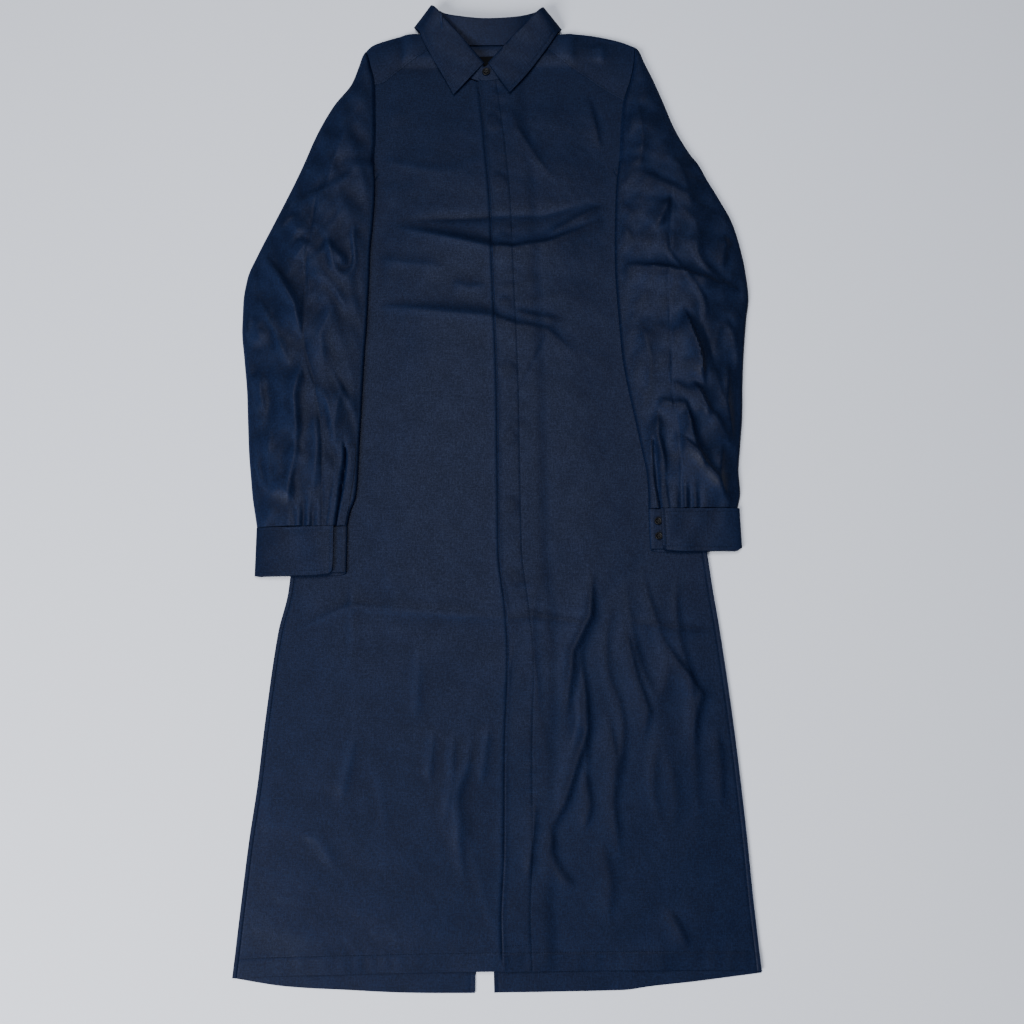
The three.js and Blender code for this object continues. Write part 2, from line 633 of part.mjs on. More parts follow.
function sleeveSection(station, name) {
  const side = name === "right" ? "left" : "right";
  const sign = name === "right" ? -1 : 1;
  const gap = station.slot ? ARMHOLE_GAP : 0;
  const inner = Math.abs(station[side]) + gap;
  const outer = Math.abs(station[`${side}Out`]);
  const width = outer - inner;
  const base = (across) => BACK_Z + coverHeight(across, station.y, side);
  const top = (across) => {
    const share = (across - inner) / width;
    const arch = station.arch * Math.sin(Math.PI * Math.min(1, Math.max(0, share))) ** 0.5;
    const folds = foldHeight(SLEEVE_FOLDS[name], across, station.y) * Math.min(1, width / 80);
    return Math.max(base(across) + FOLD_OPENING, FRONT_Z + arch + folds);
  };
  const at = (across, z) => new THREE.Vector3(sign * across, station.y, z);
  if (width < NARROW_WIDTH) return narrowSection(inner, width, at);
  const turn = FOLD_TURN;
  const foldZ = (across) => base(across) + FOLD_OPENING / 2;
  const upper = SLEEVE_TOP_SHARES.map((share) => at(inner + width * share, top(inner + width * share)));
  const lower = SLEEVE_BASE_SHARES.map((share) => at(inner + width * share, base(inner + width * share)));
  const first = station.slot ? at(inner, FRONT_Z) : at(inner, foldZ(inner));
  const final = station.slot ? at(inner, BACK_Z) : first.clone();
  const innerTop = top(inner + turn);
  const innerTurn = station.slot ? blend(FRONT_Z, innerTop, 0.3) : innerTop;
  return [
    first,
    at(inner + turn, innerTurn),
    ...upper,
    at(outer - turn, top(outer - turn)),
    at(outer, foldZ(outer)),
    at(outer - turn, base(outer - turn)),
    ...lower,
    at(inner + turn, base(inner + turn)),
    final,
  ];
}

// The tip of the sleeve head: one small round turn with as many points as the other stations.
function narrowSection(inner, width, at) {
  const count = SLEEVE_TOP_SHARES.length + 2;
  const section = [at(inner, FRONT_Z)];
  for (let k = 1; k <= count; k += 1) {
    const share = 0.5 - 0.5 * Math.cos(Math.PI * k / (count + 1));
    const rise = share < 0.5 ? Math.sin(Math.PI * share) : Math.sqrt(1 - (2 * share - 1) ** 2);
    const from = share < 0.5 ? FRONT_Z : BACK_Z;
    section.push(at(inner + width * share, blend(from, BACK_Z + FOLD_OPENING, rise)));
  }
  section.push(at(inner + width, BACK_Z + NARROW_TURN), at(inner + width - NARROW_TURN, BACK_Z));
  for (const share of SLEEVE_BASE_SHARES) section.push(at(inner + width * share, BACK_Z));
  section.push(at(inner + NARROW_TURN, BACK_Z), at(inner, BACK_Z));
  return section;
}

function sleeveGrid(name) {
  const stations = name === "right" ? SLEEVE_STATIONS : SLEEVE_STATIONS.slice(0, LEFT_SLEEVE_STATIONS);
  return stations.map((station) => sleeveSection(station, name));
}

function makeSleeve(name) {
  const joined = (i) => !SLEEVE_STATIONS[i].slot;
  return cloth(`sleeve_${name}`, wallGeometry(sleeveGrid(name), CLOTH, joined));
}

// The bound strip beside the sleeve opening, from the sleeve's own points moved out.
function makeStrip(name) {
  const grid = sleeveGrid(name).filter((row) => row[0].y < STRIP_FIRST_Y);
  const [low, high] = STRIP_COLUMNS.map((column) => column + 1);
  const rise = CLOTH + SEAM_GAP;
  const rows = grid.map((row) => [row[low], row[high]].map((point) => {
    const lifted = point.clone();
    lifted.z += rise;
    return lifted;
  }));
  return cloth(`sleeve_placket_${name}`, wallGeometry(rows, CLOTH));
}

// Cuffs: underlap, round the inner fold, along the base, round the outer fold, back to the lap.
function cuffSection(cuff, y) {
  const side = cuff.side < 0 ? "left" : "right";
  const base = (across) => STIFF_CLOTH / 2 + coverHeight(across, y, side);
  const rise = (across, step) => base(across) + step;
  const underlapEnd = cuff.inner + CUFF_UNDERLAP;
  const middle = blend(cuff.lap, cuff.outer, CUFF_MIDDLE_SHARE);
  const turn = CUFF_TURN;
  const profile = [
    [underlapEnd, rise(underlapEnd, CUFF_UNDERLAP_STEP)],
    [blend(cuff.inner, underlapEnd, 0.5), rise(cuff.inner, CUFF_UNDERLAP_STEP)],
    [cuff.inner + turn, rise(cuff.inner, CUFF_UNDERLAP_STEP)],
    [cuff.inner, rise(cuff.inner, CUFF_UNDERLAP_STEP / 2)],
    [cuff.inner + turn, base(cuff.inner)],
    [blend(cuff.inner, cuff.outer, 0.4), base(blend(cuff.inner, cuff.outer, 0.4))],
    [blend(cuff.inner, cuff.outer, 0.8), base(blend(cuff.inner, cuff.outer, 0.8))],
    [cuff.outer - turn, base(cuff.outer - turn)],
    [cuff.outer, rise(cuff.outer, CUFF_OUTER_STEP / 2)],
    [cuff.outer - turn, rise(cuff.outer - turn, CUFF_OUTER_STEP)],
    [blend(middle, cuff.outer, 0.6), rise(cuff.lap, CUFF_MIDDLE_STEP - 1)],
    [middle, rise(cuff.lap, CUFF_MIDDLE_STEP)],
    [blend(cuff.lap, middle, 0.4), rise(cuff.lap, CUFF_LAP_STEP)],
    [cuff.lap, rise(cuff.lap, CUFF_LAP_STEP)],
  ];
  return profile.map(([across, z], k) => {
    const onUnderlap = k < 5;
    const shift = onUnderlap ? CUFF_UNDERLAP_RISE * (k < 4 ? 1 : 0.5) : 0;
    const lowered = y + shift * ramp(y, cuff.top - CUFF_SHIFT_START, cuff.bottom);
    return new THREE.Vector3(cuff.side * across, lowered, z);
  });
}

function makeCuff(cuff) {
  const rows = [];
  for (let k = 0; k <= CUFF_ROWS; k += 1) {
    rows.push(cuffSection(cuff, blend(cuff.top, cuff.bottom, k / CUFF_ROWS)));
  }
  return cloth(`cuff_${cuff.name}`, wallGeometry(rows, STIFF_CLOTH));
}

// Buttons: a turned disc with a raised rim and a shallow dish.
function buttonGeometry(diameter) {
  const radius = diameter / 2;
  const profile = [
    [0, 0],
    [radius * 0.8, 0],
    [radius, BUTTON_HEIGHT * 0.45],
    [radius * 0.94, BUTTON_HEIGHT * 0.9],
    [radius * 0.78, BUTTON_HEIGHT],
    [radius * 0.6, BUTTON_HEIGHT - BUTTON_DISH],
    [0, BUTTON_HEIGHT - BUTTON_DISH],
  ];
  const turned = profile.map(([r, h]) => new THREE.Vector2(r, h));
  return new THREE.LatheGeometry(turned, BUTTON_SIDES).rotateX(Math.PI / 2);
}

function button(name, diameter) {
  return mesh(name, buttonGeometry(diameter), BUTTON_COLOUR, 0.25);
}

function makeNeckButton() {
  const piece = button("neck_button", NECK_BUTTON.diameter);
  piece.rotation.x = NECK_BUTTON.tilt;
  piece.position.set(NECK_BUTTON.x, NECK_BUTTON.y, NECK_BUTTON.z);
  return piece;
}

function makeCuffButtons(cuff) {
  const x = cuff.side < 0 ? CUFF_BUTTON.rightX : CUFF_BUTTON.leftX;
  const middleY = (cuff.top + cuff.bottom) / 2 + CUFF_UNDERLAP_RISE / 2;
  const z = STIFF_CLOTH + COVER_STEP + CUFF_UNDERLAP_STEP + SEAM_GAP;
  return [1, -1].map((direction, k) => {
    const piece = button(`cuff_button_${cuff.name}_${k + 1}`, CUFF_BUTTON.diameter);
    piece.position.set(cuff.side * x, middleY + direction * CUFF_BUTTON.spacing / 2, z);
    return piece;
  });
}

function makeLabel() {
  const z = BACK_Z + CLOTH / 2 + SEAM_GAP + LABEL_CLOTH / 2;
  const row = (y) => [LABEL.left, LABEL.right].map((x) => new THREE.Vector3(x, y, z));
  const grid = [LABEL.bottom, LABEL.top].map(row);
  return mesh("neck_label", wallGeometry(grid, LABEL_CLOTH), LABEL_COLOUR, 0.6);
}

const coat = new THREE.Group();
coat.add(makeYoke(), ...makeBack(), ...makeFronts(), ...makeCollar());
for (const name of ["right", "left"]) coat.add(makeSleeve(name), makeStrip(name));
for (const cuff of CUFFS) coat.add(makeCuff(cuff), ...makeCuffButtons(cuff));
coat.add(makeNeckButton(), makeLabel());

export default coat;
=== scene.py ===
# %% [markdown]
# # A long shirt coat, laid flat
# The coat lies on its back on a pale floor, buttoned up, with its front towards us. It is nearly all
# cloth: two fronts with a covered placket, a back in two halves, a yoke over the shoulders, a folded
# collar, two sleeves and two cuffs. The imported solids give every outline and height. Here each plain
# solid is replaced by a thin shell of cloth with its creases, hems, stitches and weave.

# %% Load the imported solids
import math
from collections import namedtuple

import bpy
import numpy as np
from mathutils import Matrix, Vector
from mathutils.bvhtree import BVHTree


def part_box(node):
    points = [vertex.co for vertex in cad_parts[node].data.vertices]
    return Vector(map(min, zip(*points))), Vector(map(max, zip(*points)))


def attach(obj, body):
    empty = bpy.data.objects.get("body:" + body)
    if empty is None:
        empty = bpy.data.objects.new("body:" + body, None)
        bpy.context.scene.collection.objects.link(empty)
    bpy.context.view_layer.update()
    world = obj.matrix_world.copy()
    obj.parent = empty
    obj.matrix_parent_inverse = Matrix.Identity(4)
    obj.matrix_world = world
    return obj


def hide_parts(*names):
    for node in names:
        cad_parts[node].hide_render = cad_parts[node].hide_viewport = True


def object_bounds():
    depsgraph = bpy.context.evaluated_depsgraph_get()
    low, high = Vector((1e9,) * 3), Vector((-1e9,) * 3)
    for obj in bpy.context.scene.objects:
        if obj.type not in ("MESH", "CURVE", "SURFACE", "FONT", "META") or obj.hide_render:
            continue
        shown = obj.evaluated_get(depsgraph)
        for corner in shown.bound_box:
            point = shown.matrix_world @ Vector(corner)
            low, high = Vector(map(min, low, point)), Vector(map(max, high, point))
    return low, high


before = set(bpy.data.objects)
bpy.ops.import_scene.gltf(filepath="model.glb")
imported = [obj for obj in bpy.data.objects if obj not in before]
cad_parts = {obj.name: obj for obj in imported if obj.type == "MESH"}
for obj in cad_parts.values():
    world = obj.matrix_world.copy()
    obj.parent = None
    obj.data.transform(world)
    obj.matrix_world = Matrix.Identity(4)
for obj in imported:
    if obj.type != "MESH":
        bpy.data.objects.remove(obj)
cad_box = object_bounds()
MM = 0.001
box_sizes = [round((high - low) / MM, 1) for low, high in zip(*cad_box)]
print("solids:", len(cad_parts), "box in mm:", box_sizes)

# %% [markdown]
# ## Camera
# The photograph was taken from just below the hem, looking down at the floor and a little towards the
# collar. Its place and lens were solved once from the picture's perspective, and are kept here as one
# point and the three directions of the camera's own axes.

# %% Camera at the photograph's viewing angle
CAMERA_PLACE = (0.025556, -0.415373, 1.406721)
CAMERA_RIGHT = (0.99989, -0.01260, -0.00810)
CAMERA_UP = (0.01415, 0.97204, 0.23437)
CAMERA_FORWARD = (-0.00492, 0.23446, -0.97211)
CAMERA_LENS = 40.49
CAMERA_SENSOR = 36.0

camera_data = bpy.data.cameras.new("photo_camera")
camera_data.lens = CAMERA_LENS
camera_data.sensor_width = CAMERA_SENSOR
camera = bpy.data.objects.new("photo_camera", camera_data)
backward = [-value for value in CAMERA_FORWARD]
camera.matrix_world = Matrix([
    (CAMERA_RIGHT[axis], CAMERA_UP[axis], backward[axis], CAMERA_PLACE[axis]) for axis in range(3)
] + [(0, 0, 0, 1)])
bpy.context.scene.collection.objects.link(camera)
bpy.context.scene.camera = camera
print("camera height in m:", CAMERA_PLACE[2])

# %% [markdown]
# ## Reading shapes from tables
# A pattern cutter draws an edge through a few measured points. These helpers do the same: a table of
# points is read with a smooth curve that passes through all of them and never swings past them.
# A spline object could do it too, but plain functions can be read anywhere on the cloth.

# %% Blends and smooth tables


def blend(start, end, share):
    """The value at a share of the way from start to end."""
    return start + (end - start) * share


def ramp(value, start, end):
    """Share of the way from start to end, held at 0 and 1."""
    return np.clip((value - start) / (end - start), 0.0, 1.0)


def ease(value, start, end):
    """A ramp with a soft start and a soft end."""
    share = ramp(value, start, end)
    return share * share * (3 - 2 * share)


def curve_through(points):
    """A function that reads (key, value) points with a smooth curve that never overshoots."""
    keys, values = np.array(sorted(points), float).T
    steps = np.diff(keys)
    slopes = np.diff(values) / steps
    before, after = slopes[:-1], slopes[1:]
    same_way = before * after > 0
    total = np.where(same_way, before + after, 1.0)
    inner = np.where(same_way, 2 * before * after / total, 0.0)
    tangents = np.concatenate([slopes[:1], inner, slopes[-1:]])

    def value_at(at):
        at = np.clip(np.asarray(at, float), keys[0], keys[-1])
        k = np.clip(np.searchsorted(keys, at, side="right") - 1, 0, len(steps) - 1)
        share = (at - keys[k]) / steps[k]
        rest = 1 - share
        bulge = share * rest * (tangents[k] * rest - tangents[k + 1] * share) * steps[k]
        first = values[k] * rest * rest * (1 + 2 * share)
        return first + values[k + 1] * share * share * (3 - 2 * share) + bulge

    return value_at


def smooth_path(points, steps):
    """Points of a rounded path through the given ones, with that many steps between neighbours."""
    points = np.asarray(points, float)
    padded = np.vstack([2 * points[0] - points[1], points, 2 * points[-1] - points[-2]])
    knots = np.concatenate([[0], np.cumsum(np.linalg.norm(np.diff(padded, axis=0), axis=1) ** 0.5)])
    path = [points[0]]
    for k in range(1, len(padded) - 2):
        t0, t1, t2, t3 = knots[k - 1:k + 3]
        p0, p1, p2, p3 = padded[k - 1:k + 3]
        for step in range(1, steps + 1):
            t = blend(t1, t2, step / steps)
            a1 = blend(p0, p1, (t - t0) / (t1 - t0))
            a2 = blend(p1, p2, (t - t1) / (t2 - t1))
            a3 = blend(p2, p3, (t - t2) / (t3 - t2))
            b1 = blend(a1, a2, (t - t0) / (t2 - t0))
            b2 = blend(a2, a3, (t - t1) / (t3 - t1))
            path.append(blend(b1, b2, (t - t1) / (t2 - t1)))
    return np.array(path)


print("a smooth curve halfway between 0 and 1:", float(curve_through([(0, 0), (1, 1), (2, 1)])(0.5)))

# %% [markdown]
# ## The coat's edges
# All measures are in millimetres. x runs towards the wearer's left and y from hem to collar. The side
# seams, the armholes and the free edge of the placket are the edges that every panel shares, so they
# stand here once, and neighbouring pieces meet because they read the same table.

# %% Seams that the pieces share
SIDE_EDGE = {
    "right": curve_through([
        (-620, -309), (-540, -302), (-473, -296), (-404, -288), (-333, -282), (-225, -270), (-173, -259),
        (0, -247), (335, -238), (396, -162), (415, -162), (455, -161), (499, -162), (533, -163),
        (560, -169), (577, -173), (583, -176)]),
    "left": curve_through([
        (-620, 297), (-540, 292), (-473, 289), (-404, 285), (-333, 280), (-225, 270), (-173, 264),
        (0, 250), (335, 240), (396, 168), (415, 170), (455, 173.5), (499, 178.5), (533, 189),
        (560, 194.5), (577, 196), (583, 197)]),
}
PLACKET_EDGE = curve_through([
    (-620, 3), (-563, 2), (-487, 6), (-370, 8), (-248, 13), (-206, 11), (-121, 3), (58, 3),
    (268, -2), (347, -4), (431, -10), (504, -16), (540, -20)])
BAND_WIDTH = curve_through([
    (-620, 32), (-548, 31.5), (-290, 30), (-207, 27.5), (21, 26), (414, 26), (504, 24)])
SLEEVE_INNER = {
    "right": curve_through([
        (-92.5, 188), (-76, 185), (-54, 178), (-30, 176), (5, 175), (45, 173.5), (88, 172), (130, 170.5),
        (177, 168), (211, 167), (245, 166), (280, 165.5), (314, 163), (350, 161), (380, 160.5),
        (402, 162), (415, 162), (455, 161), (499, 162), (533, 163), (560, 169), (577, 173.6), (583, 176)]),
    "left": curve_through([
        (-76, 190), (-54, 190.5), (-30, 189.5), (5, 184), (45, 177), (88, 169.5), (130, 164),
        (177, 161.5), (211, 160), (245, 159), (280, 159.5), (314, 161), (350, 163), (380, 165.5),
        (402, 168.8), (415, 170), (455, 173.5), (499, 178.5), (533, 189),
        (560, 194.5), (577, 196), (583, 197)]),
}
SLEEVE_OUTER = {
    "right": curve_through([
        (-92.5, 301), (-76, 304), (-54, 308), (-30, 311), (5, 315), (45, 318), (88, 321), (130, 326),
        (177, 331), (211, 331), (245, 327), (280, 314), (314, 299), (350, 283), (380, 270), (402, 261),
        (415, 256), (455, 241), (499, 219), (533, 195), (560, 185.5), (577, 180.4), (583, 177.4)]),
    "left": curve_through([
        (-76, 301), (-54, 305.5), (-30, 305), (5, 309), (45, 314), (88, 317), (130, 321), (177, 327),
        (211, 332), (245, 330), (280, 325), (314, 317), (350, 301), (380, 286), (402, 276), (415, 267),
        (455, 247), (499, 232), (533, 220), (560, 209), (577, 203), (583, 198.6)]),
}
SIDES = {"right": -1, "left": 1}
print("hem width in mm:", round(float(SIDE_EDGE["left"](-617) - SIDE_EDGE["right"](-617))))

# %% [markdown]
# ## Layers
# Where the coat lies flat its layers rest on each other: the floor, the back, then the front, and the
# sleeves over both. The heights below are those of the middle of each layer of cloth.

# %% Heights of the layers
CLOTH_WALL = 1.0
STIFF_WALL = 1.4
SOLID_WALL = 1.2
SEAM_GAP = 0.3
BACK_Z = SOLID_WALL / 2
FRONT_Z = BACK_Z + SOLID_WALL + SEAM_GAP
LAP_STEP = SOLID_WALL + SEAM_GAP
COVER_STEP = FRONT_Z + SOLID_WALL / 2 + SEAM_GAP
UNDERARM_Y = 396
print("back, front and covering layer at z:", BACK_Z, FRONT_Z, COVER_STEP)

# %% [markdown]
# ## Creases
# Cloth that was folded away keeps its creases. A crease is a soft ridge, or a trough where its height
# is negative, along a few points. It fades out at both ends, and its lean makes one flank steeper, as
# in cloth that has slid to one side. The crests are placed one by one where the coat shows them. A cloth
# simulation would give creases too, but not these ones in these places.

# %% A crease and its height
Crease = namedtuple("Crease", "points height width lean")
CREASE_END = 0.32
CREASE_LEAN = 0.66
CREASE_SHARPNESS = 1.2
CREASE_LIFT = 1.5
CREASE_NARROW = 0.5
CREASE_WIDE = 1.1
NOISE_CELLS = 64
RIDGE_WIDTH = 0.2
RIDGE_POWER = 1.4
PATCH_START = -0.12
PATCH_END = 0.3


def crease_height(creases, x, y):
    """Sum of the creases at points x, y. A positive lean is steeper on the left of the way it runs."""
    total = np.zeros(np.broadcast(x, y).shape)
    for crease in creases:
        points = np.array(crease.points, float)
        lengths = np.linalg.norm(np.diff(points, axis=0), axis=1)
        starts = np.concatenate([[0], np.cumsum(lengths)])
        nearest = np.full(total.shape, np.inf)
        signed = np.zeros(total.shape)
        place = np.zeros(total.shape)
        for k, length in enumerate(lengths):
            dx, dy = (points[k + 1] - points[k]) / length
            along = np.clip((x - points[k][0]) * dx + (y - points[k][1]) * dy, 0, length)
            off_x = x - points[k][0] - along * dx
            off_y = y - points[k][1] - along * dy
            away = np.hypot(off_x, off_y)
            closer = away < nearest
            nearest = np.where(closer, away, nearest)
            signed = np.where(closer, np.sign(off_y * dx - off_x * dy), signed)
            place = np.where(closer, (starts[k] + along) / starts[-1], place)
        fade = ease(np.minimum(place, 1 - place), 0, CREASE_END)
        width = crease.width * (1 - CREASE_LEAN * crease.lean * signed)
        width = width * blend(CREASE_NARROW, CREASE_WIDE, fade)
        total += CREASE_LIFT * crease.height * fade * np.exp(-(nearest / width) ** CREASE_SHARPNESS)
    return total


def waves(x, y, seed, lengths, height):
    """Low random waves of cloth, the sum of straight ones in seeded directions."""
    rng = np.random.default_rng(seed)
    total = 0.0
    for length in lengths:
        turn = rng.uniform(0, math.pi)
        phase = rng.uniform(0, 2 * math.pi)
        total = total + np.sin(2 * math.pi * (x * math.cos(turn) + y * math.sin(turn)) / length + phase)
    return height * total / math.sqrt(len(lengths))


def cloth_noise(x, y, seed):
    """Smooth random values between about -0.7 and 0.7, one swell for each unit of x and y."""
    turns = np.random.default_rng(seed).uniform(0, 2 * math.pi, (NOISE_CELLS, NOISE_CELLS))
    cell_x, cell_y = np.floor(x).astype(int), np.floor(y).astype(int)
    in_x, in_y = x - cell_x, y - cell_y

    def corner(step_x, step_y):
        turn = turns[(cell_x + step_x) % NOISE_CELLS, (cell_y + step_y) % NOISE_CELLS]
        return np.cos(turn) * (in_x - step_x) + np.sin(turn) * (in_y - step_y)

    share_x, share_y = ease(in_x, 0, 1), ease(in_y, 0, 1)
    low = blend(corner(0, 0), corner(1, 0), share_x)
    high = blend(corner(0, 1), corner(1, 1), share_x)
    return blend(low, high, share_y)


def small_creases(x, y, seed, across, along, height):
    """Thin random creases that run along y, in patches, about the given sizes apart."""
    bend = 0.5 * cloth_noise(x / (3 * across), y / along, seed + 1)
    value = cloth_noise(x / across + bend, y / along, seed)
    ridge = np.clip(1 - np.abs(value) / RIDGE_WIDTH, 0, 1) ** RIDGE_POWER
    patch = cloth_noise(x / (2.7 * across), y / (1.4 * along), seed + 2)
    patch = ease(patch, PATCH_START, PATCH_END)
    return height * ridge * patch


sample = Crease([(0, 0), (0, -100)], 5, 8, 0)
print("height on a crest:", float(crease_height([sample], np.array(0.0), np.array(-50.0))))

# %% [markdown]
# ## Making a piece of cloth
# A shell of cloth starts as a grid of points on its middle surface. Each point moves half the wall
# outwards and half inwards, and the open edges are closed with a narrow strip. Blender's Solidify
# modifier does much the same, but here a tube such as a sleeve can be open for part of its length.
# The piece's own flat map keeps each point's place on the cut cloth in metres, for the weave.

# %% A thin wall of cloth about a grid of points
SHARP_ANGLE = math.radians(52)
CREST_REACH = 4
CREST_FULL = 0.55


def softened(grid, reach):
    """The grid averaged over its neighbours, that many steps each way."""
    for axis in (0, 1):
        pads = [(reach, reach) if a == axis else (0, 0) for a in range(3)]
        padded = np.pad(grid, pads, mode="edge")
        size = grid.shape[axis]
        shifted = (np.take(padded, range(k, k + size), axis=axis) for k in range(2 * reach + 1))
        grid = sum(shifted) / (2 * reach + 1)
    return grid


def crest_values(grid, normals):
    """How far each point stands out of the cloth around it, from -1 in a trough to 1 on a crest."""
    stands_out = np.einsum("ij,ij->i", (grid - softened(grid, CREST_REACH)).reshape(-1, 3), normals)
    return np.clip(stands_out / CREST_FULL, -1, 1)


def open_edges(cells, count):
    """The edges that only one cell uses, in that cell's direction."""
    starts = cells.ravel()
    ends = np.roll(cells, -1, axis=1).ravel()
    real = starts != ends
    starts, ends = starts[real], ends[real]
    alone = ~np.isin(starts * count + ends, ends * count + starts)
    return starts[alone], ends[alone]


def wall_arrays(grid, wall, joined, keep):
    """Points and faces of a wall about a grid of middle points."""
    rows, columns = grid.shape[:2]
    ids = np.arange(rows * columns).reshape(rows, columns)
    if joined is not None:
        ids[joined, -1] = ids[joined, 0]
    cells = np.stack([ids[:-1, :-1], ids[1:, :-1], ids[1:, 1:], ids[:-1, 1:]], axis=-1)
    cells = cells[keep] if keep is not None else cells.reshape(-1, 4)
    points = grid.reshape(-1, 3)
    a, b, c, d = (points[cells[:, k]] for k in range(4))
    face_normals = np.cross(c - a, d - b)
    normals = np.zeros_like(points)
    for k in range(4):
        np.add.at(normals, cells[:, k], face_normals)
    normals /= np.maximum(np.linalg.norm(normals, axis=1, keepdims=True), 1e-12)
    half = wall / 2 if np.isscalar(wall) else wall.reshape(-1, 1) / 2
    outer, inner = points + normals * half, points - normals * half
    starts, ends = open_edges(cells, len(points))
    rims = np.stack([ends, starts, starts + len(points), ends + len(points)], axis=1)
    faces = np.vstack([cells, cells[:, ::-1] + len(points), rims])
    return np.vstack([outer, inner]), faces, np.tile(crest_values(grid, normals), 2)


def add_object(name, mesh):
    """A new object in the scene, at the origin."""
    piece = bpy.data.objects.new(name, mesh)
    bpy.context.scene.collection.objects.link(piece)
    return piece


def cloth_piece(name, grid, wall=CLOTH_WALL, joined=None, keep=None, flat=None):
    """A mesh object of cloth from a grid of middle points in millimetres. flat is its flat map."""
    points, faces, crest = wall_arrays(grid, wall, joined, keep)
    flat = grid[..., :2] if flat is None else flat
    flat = np.vstack([flat.reshape(-1, 2)] * 2) * MM
    centre = points.mean(axis=0)
    a, b, c, d = (points[faces[:, k]] - centre for k in range(4))
    if np.einsum("ij,ij->", a, np.cross(b, c) + np.cross(c, d)) < 0:
        faces = faces[:, ::-1]
    else:
        crest = -crest
    used, compact = np.unique(faces, return_inverse=True)
    faces = compact.reshape(faces.shape)
    mesh = bpy.data.meshes.new(name)
    mesh.from_pydata((points[used] * MM).tolist(), [], faces.tolist())
    mesh.update()
    uv = mesh.uv_layers.new(name="flat_map")
    uv.data.foreach_set("uv", flat[used][faces.ravel()].astype(np.float32).ravel())
    # The crest value drives painted shade in troughs and painted highlight on crests in the cloth's colour.
    stands_out = mesh.attributes.new("crest", "FLOAT", "POINT")
    stands_out.data.foreach_set("value", crest[used].astype(np.float32))
    mesh.polygons.foreach_set("use_smooth", np.ones(len(faces), bool))
    mesh.set_sharp_from_angle(angle=SHARP_ANGLE)
    print(f"{name}: {2 * len(faces)} triangles")
    return add_object(name, mesh)


def surface_map(grid):
    """A flat map that follows the piece: across along its columns and up along its rows."""
    across = np.linalg.norm(np.diff(grid, axis=1), axis=2).mean(axis=0)
    along = np.linalg.norm(np.diff(grid, axis=0), axis=2).mean(axis=1)
    columns = np.concatenate([[0], np.cumsum(across)])
    rows = np.concatenate([[0], np.cumsum(along)])
    return np.stack(np.meshgrid(columns, rows), axis=-1)


# %% [markdown]
# ## Fronts
# Each front runs from the side seam to the centre, and from the hem up to the yoke seam and the neck.
# The wearer's left front laps over the right and carries the covered placket, a double band closed
# with one row of stitches. One height field lifts both fronts, so the lapped layers bend together and
# never cut through each other. The creases below are those that show, from the chest to the hem.

# %% Creases of the fronts
FRONT_CREASES = [
    # Chest, where it was folded away
    Crease([(-142, 318), (-70, 300), (-4, 283), (23, 281), (75, 290), (110, 305), (156, 330)], 4.4, 18, 1.0),
    Crease([(-138, 325), (-3, 329), (66, 331), (127, 347), (160, 340)], -1.5, 6, 0),
    Crease([(60, 296), (100, 318), (150, 346)], 1.8, 7, 0.4),
    Crease([(-168, 204), (-124, 199), (-60, 191), (-5, 185), (27, 172), (68, 165), (112, 126)], 3.2, 22, 1.0),
    Crease([(-165, 272), (-120, 262), (-60, 255)], 1.6, 14, 0.6),
    Crease([(-60, 236), (-36, 226), (-8, 228)], 1.4, 8, 0.4),
    Crease([(20, 196), (44, 186), (92, 178)], 1.6, 8, 0.5),
    # Shoulders
    Crease([(150, 590), (150, 556)], 2.6, 7, 0.6),
    Crease([(122, 556), (132, 500), (146, 420)], 1.7, 8, 0.6),
    Crease([(22, 505), (32, 460), (60, 412), (82, 380)], 1.6, 10, 0.3),
    # Skirt, wearer's left
    Crease([(118, -148), (113, -210), (90, -253), (84, -310), (80, -340)], 3.6, 7, 0.6),
    Crease([(100, -240), (106, -345), (92, -386), (77, -430), (61, -460), (59, -487)], 3.2, 7, 0.6),
    Crease([(61, -455), (59, -487), (70, -510), (90, -528)], 1.8, 7, 0.5),
    Crease([(96, -270), (94, -330), (84, -380)], -1.4, 6, 0),
    Crease([(151, -206), (160, -254), (166, -283), (179, -325), (172, -367)], 2.3, 7, 0.5),
    Crease([(197, -232), (218, -269), (244, -306), (235, -340), (230, -380)], 2.2, 7, 0.5),
    Crease([(99, -386), (106, -434), (97, -468)], 1.8, 6, 0.5),
    Crease([(43, -423), (38, -473), (31, -526)], 1.5, 6, 0.4),
    Crease([(190, -548), (204, -570), (217, -600)], 1.5, 6, 0.5),
    Crease([(261, -340), (264, -395), (261, -446)], 1.4, 7, 0.4),
    Crease([(129, -321), (138, -380), (133, -434), (141, -500)], 1.8, 7, 0.4),
    Crease([(118, -470), (128, -520), (124, -570)], 1.1, 9, 0.3),
    # Skirt, wearer's right
    Crease([(-98, -236), (-99, -279), (-100, -340)], 1.2, 8, 0.4),
    Crease([(-79, -336), (-82, -370), (-84, -410)], 1.3, 6, 0.5),
    Crease([(-55, -336), (-58, -398), (-67, -459)], 1.7, 7, 0.5),
    Crease([(-32, -326), (-39, -385), (-51, -419), (-48, -479), (-42, -528)], 1.7, 7, 0.5),
    Crease([(-173, -338), (-181, -386), (-191, -434)], 1.3, 7, 0.5),
    Crease([(-236, -473), (-227, -463), (-213, -469), (-188, -506)], 0.8, 6, 0.5),
    Crease([(-12, -334), (-18, -371), (-23, -412)], 1.5, 6, 0.5),
    # Across the skirt, where it was folded away
    Crease([(-275, -236), (-221, -211), (-181, -193), (-112, -201), (-40, -207), (20, -212)], 1.2, 6, 0.5),
    Crease([(-10, -211), (47, -208), (82, -214), (122, -220)], 1.2, 6, 0.5),
    Crease([(150, -214), (219, -226), (268, -228)], 1.1, 6, 0.4),
]
WAVE_LENGTHS = (210, 160, 128, 96, 74, 61)
CRUMPLE_LENGTHS = (33, 27, 23, 19, 16, 13.5)
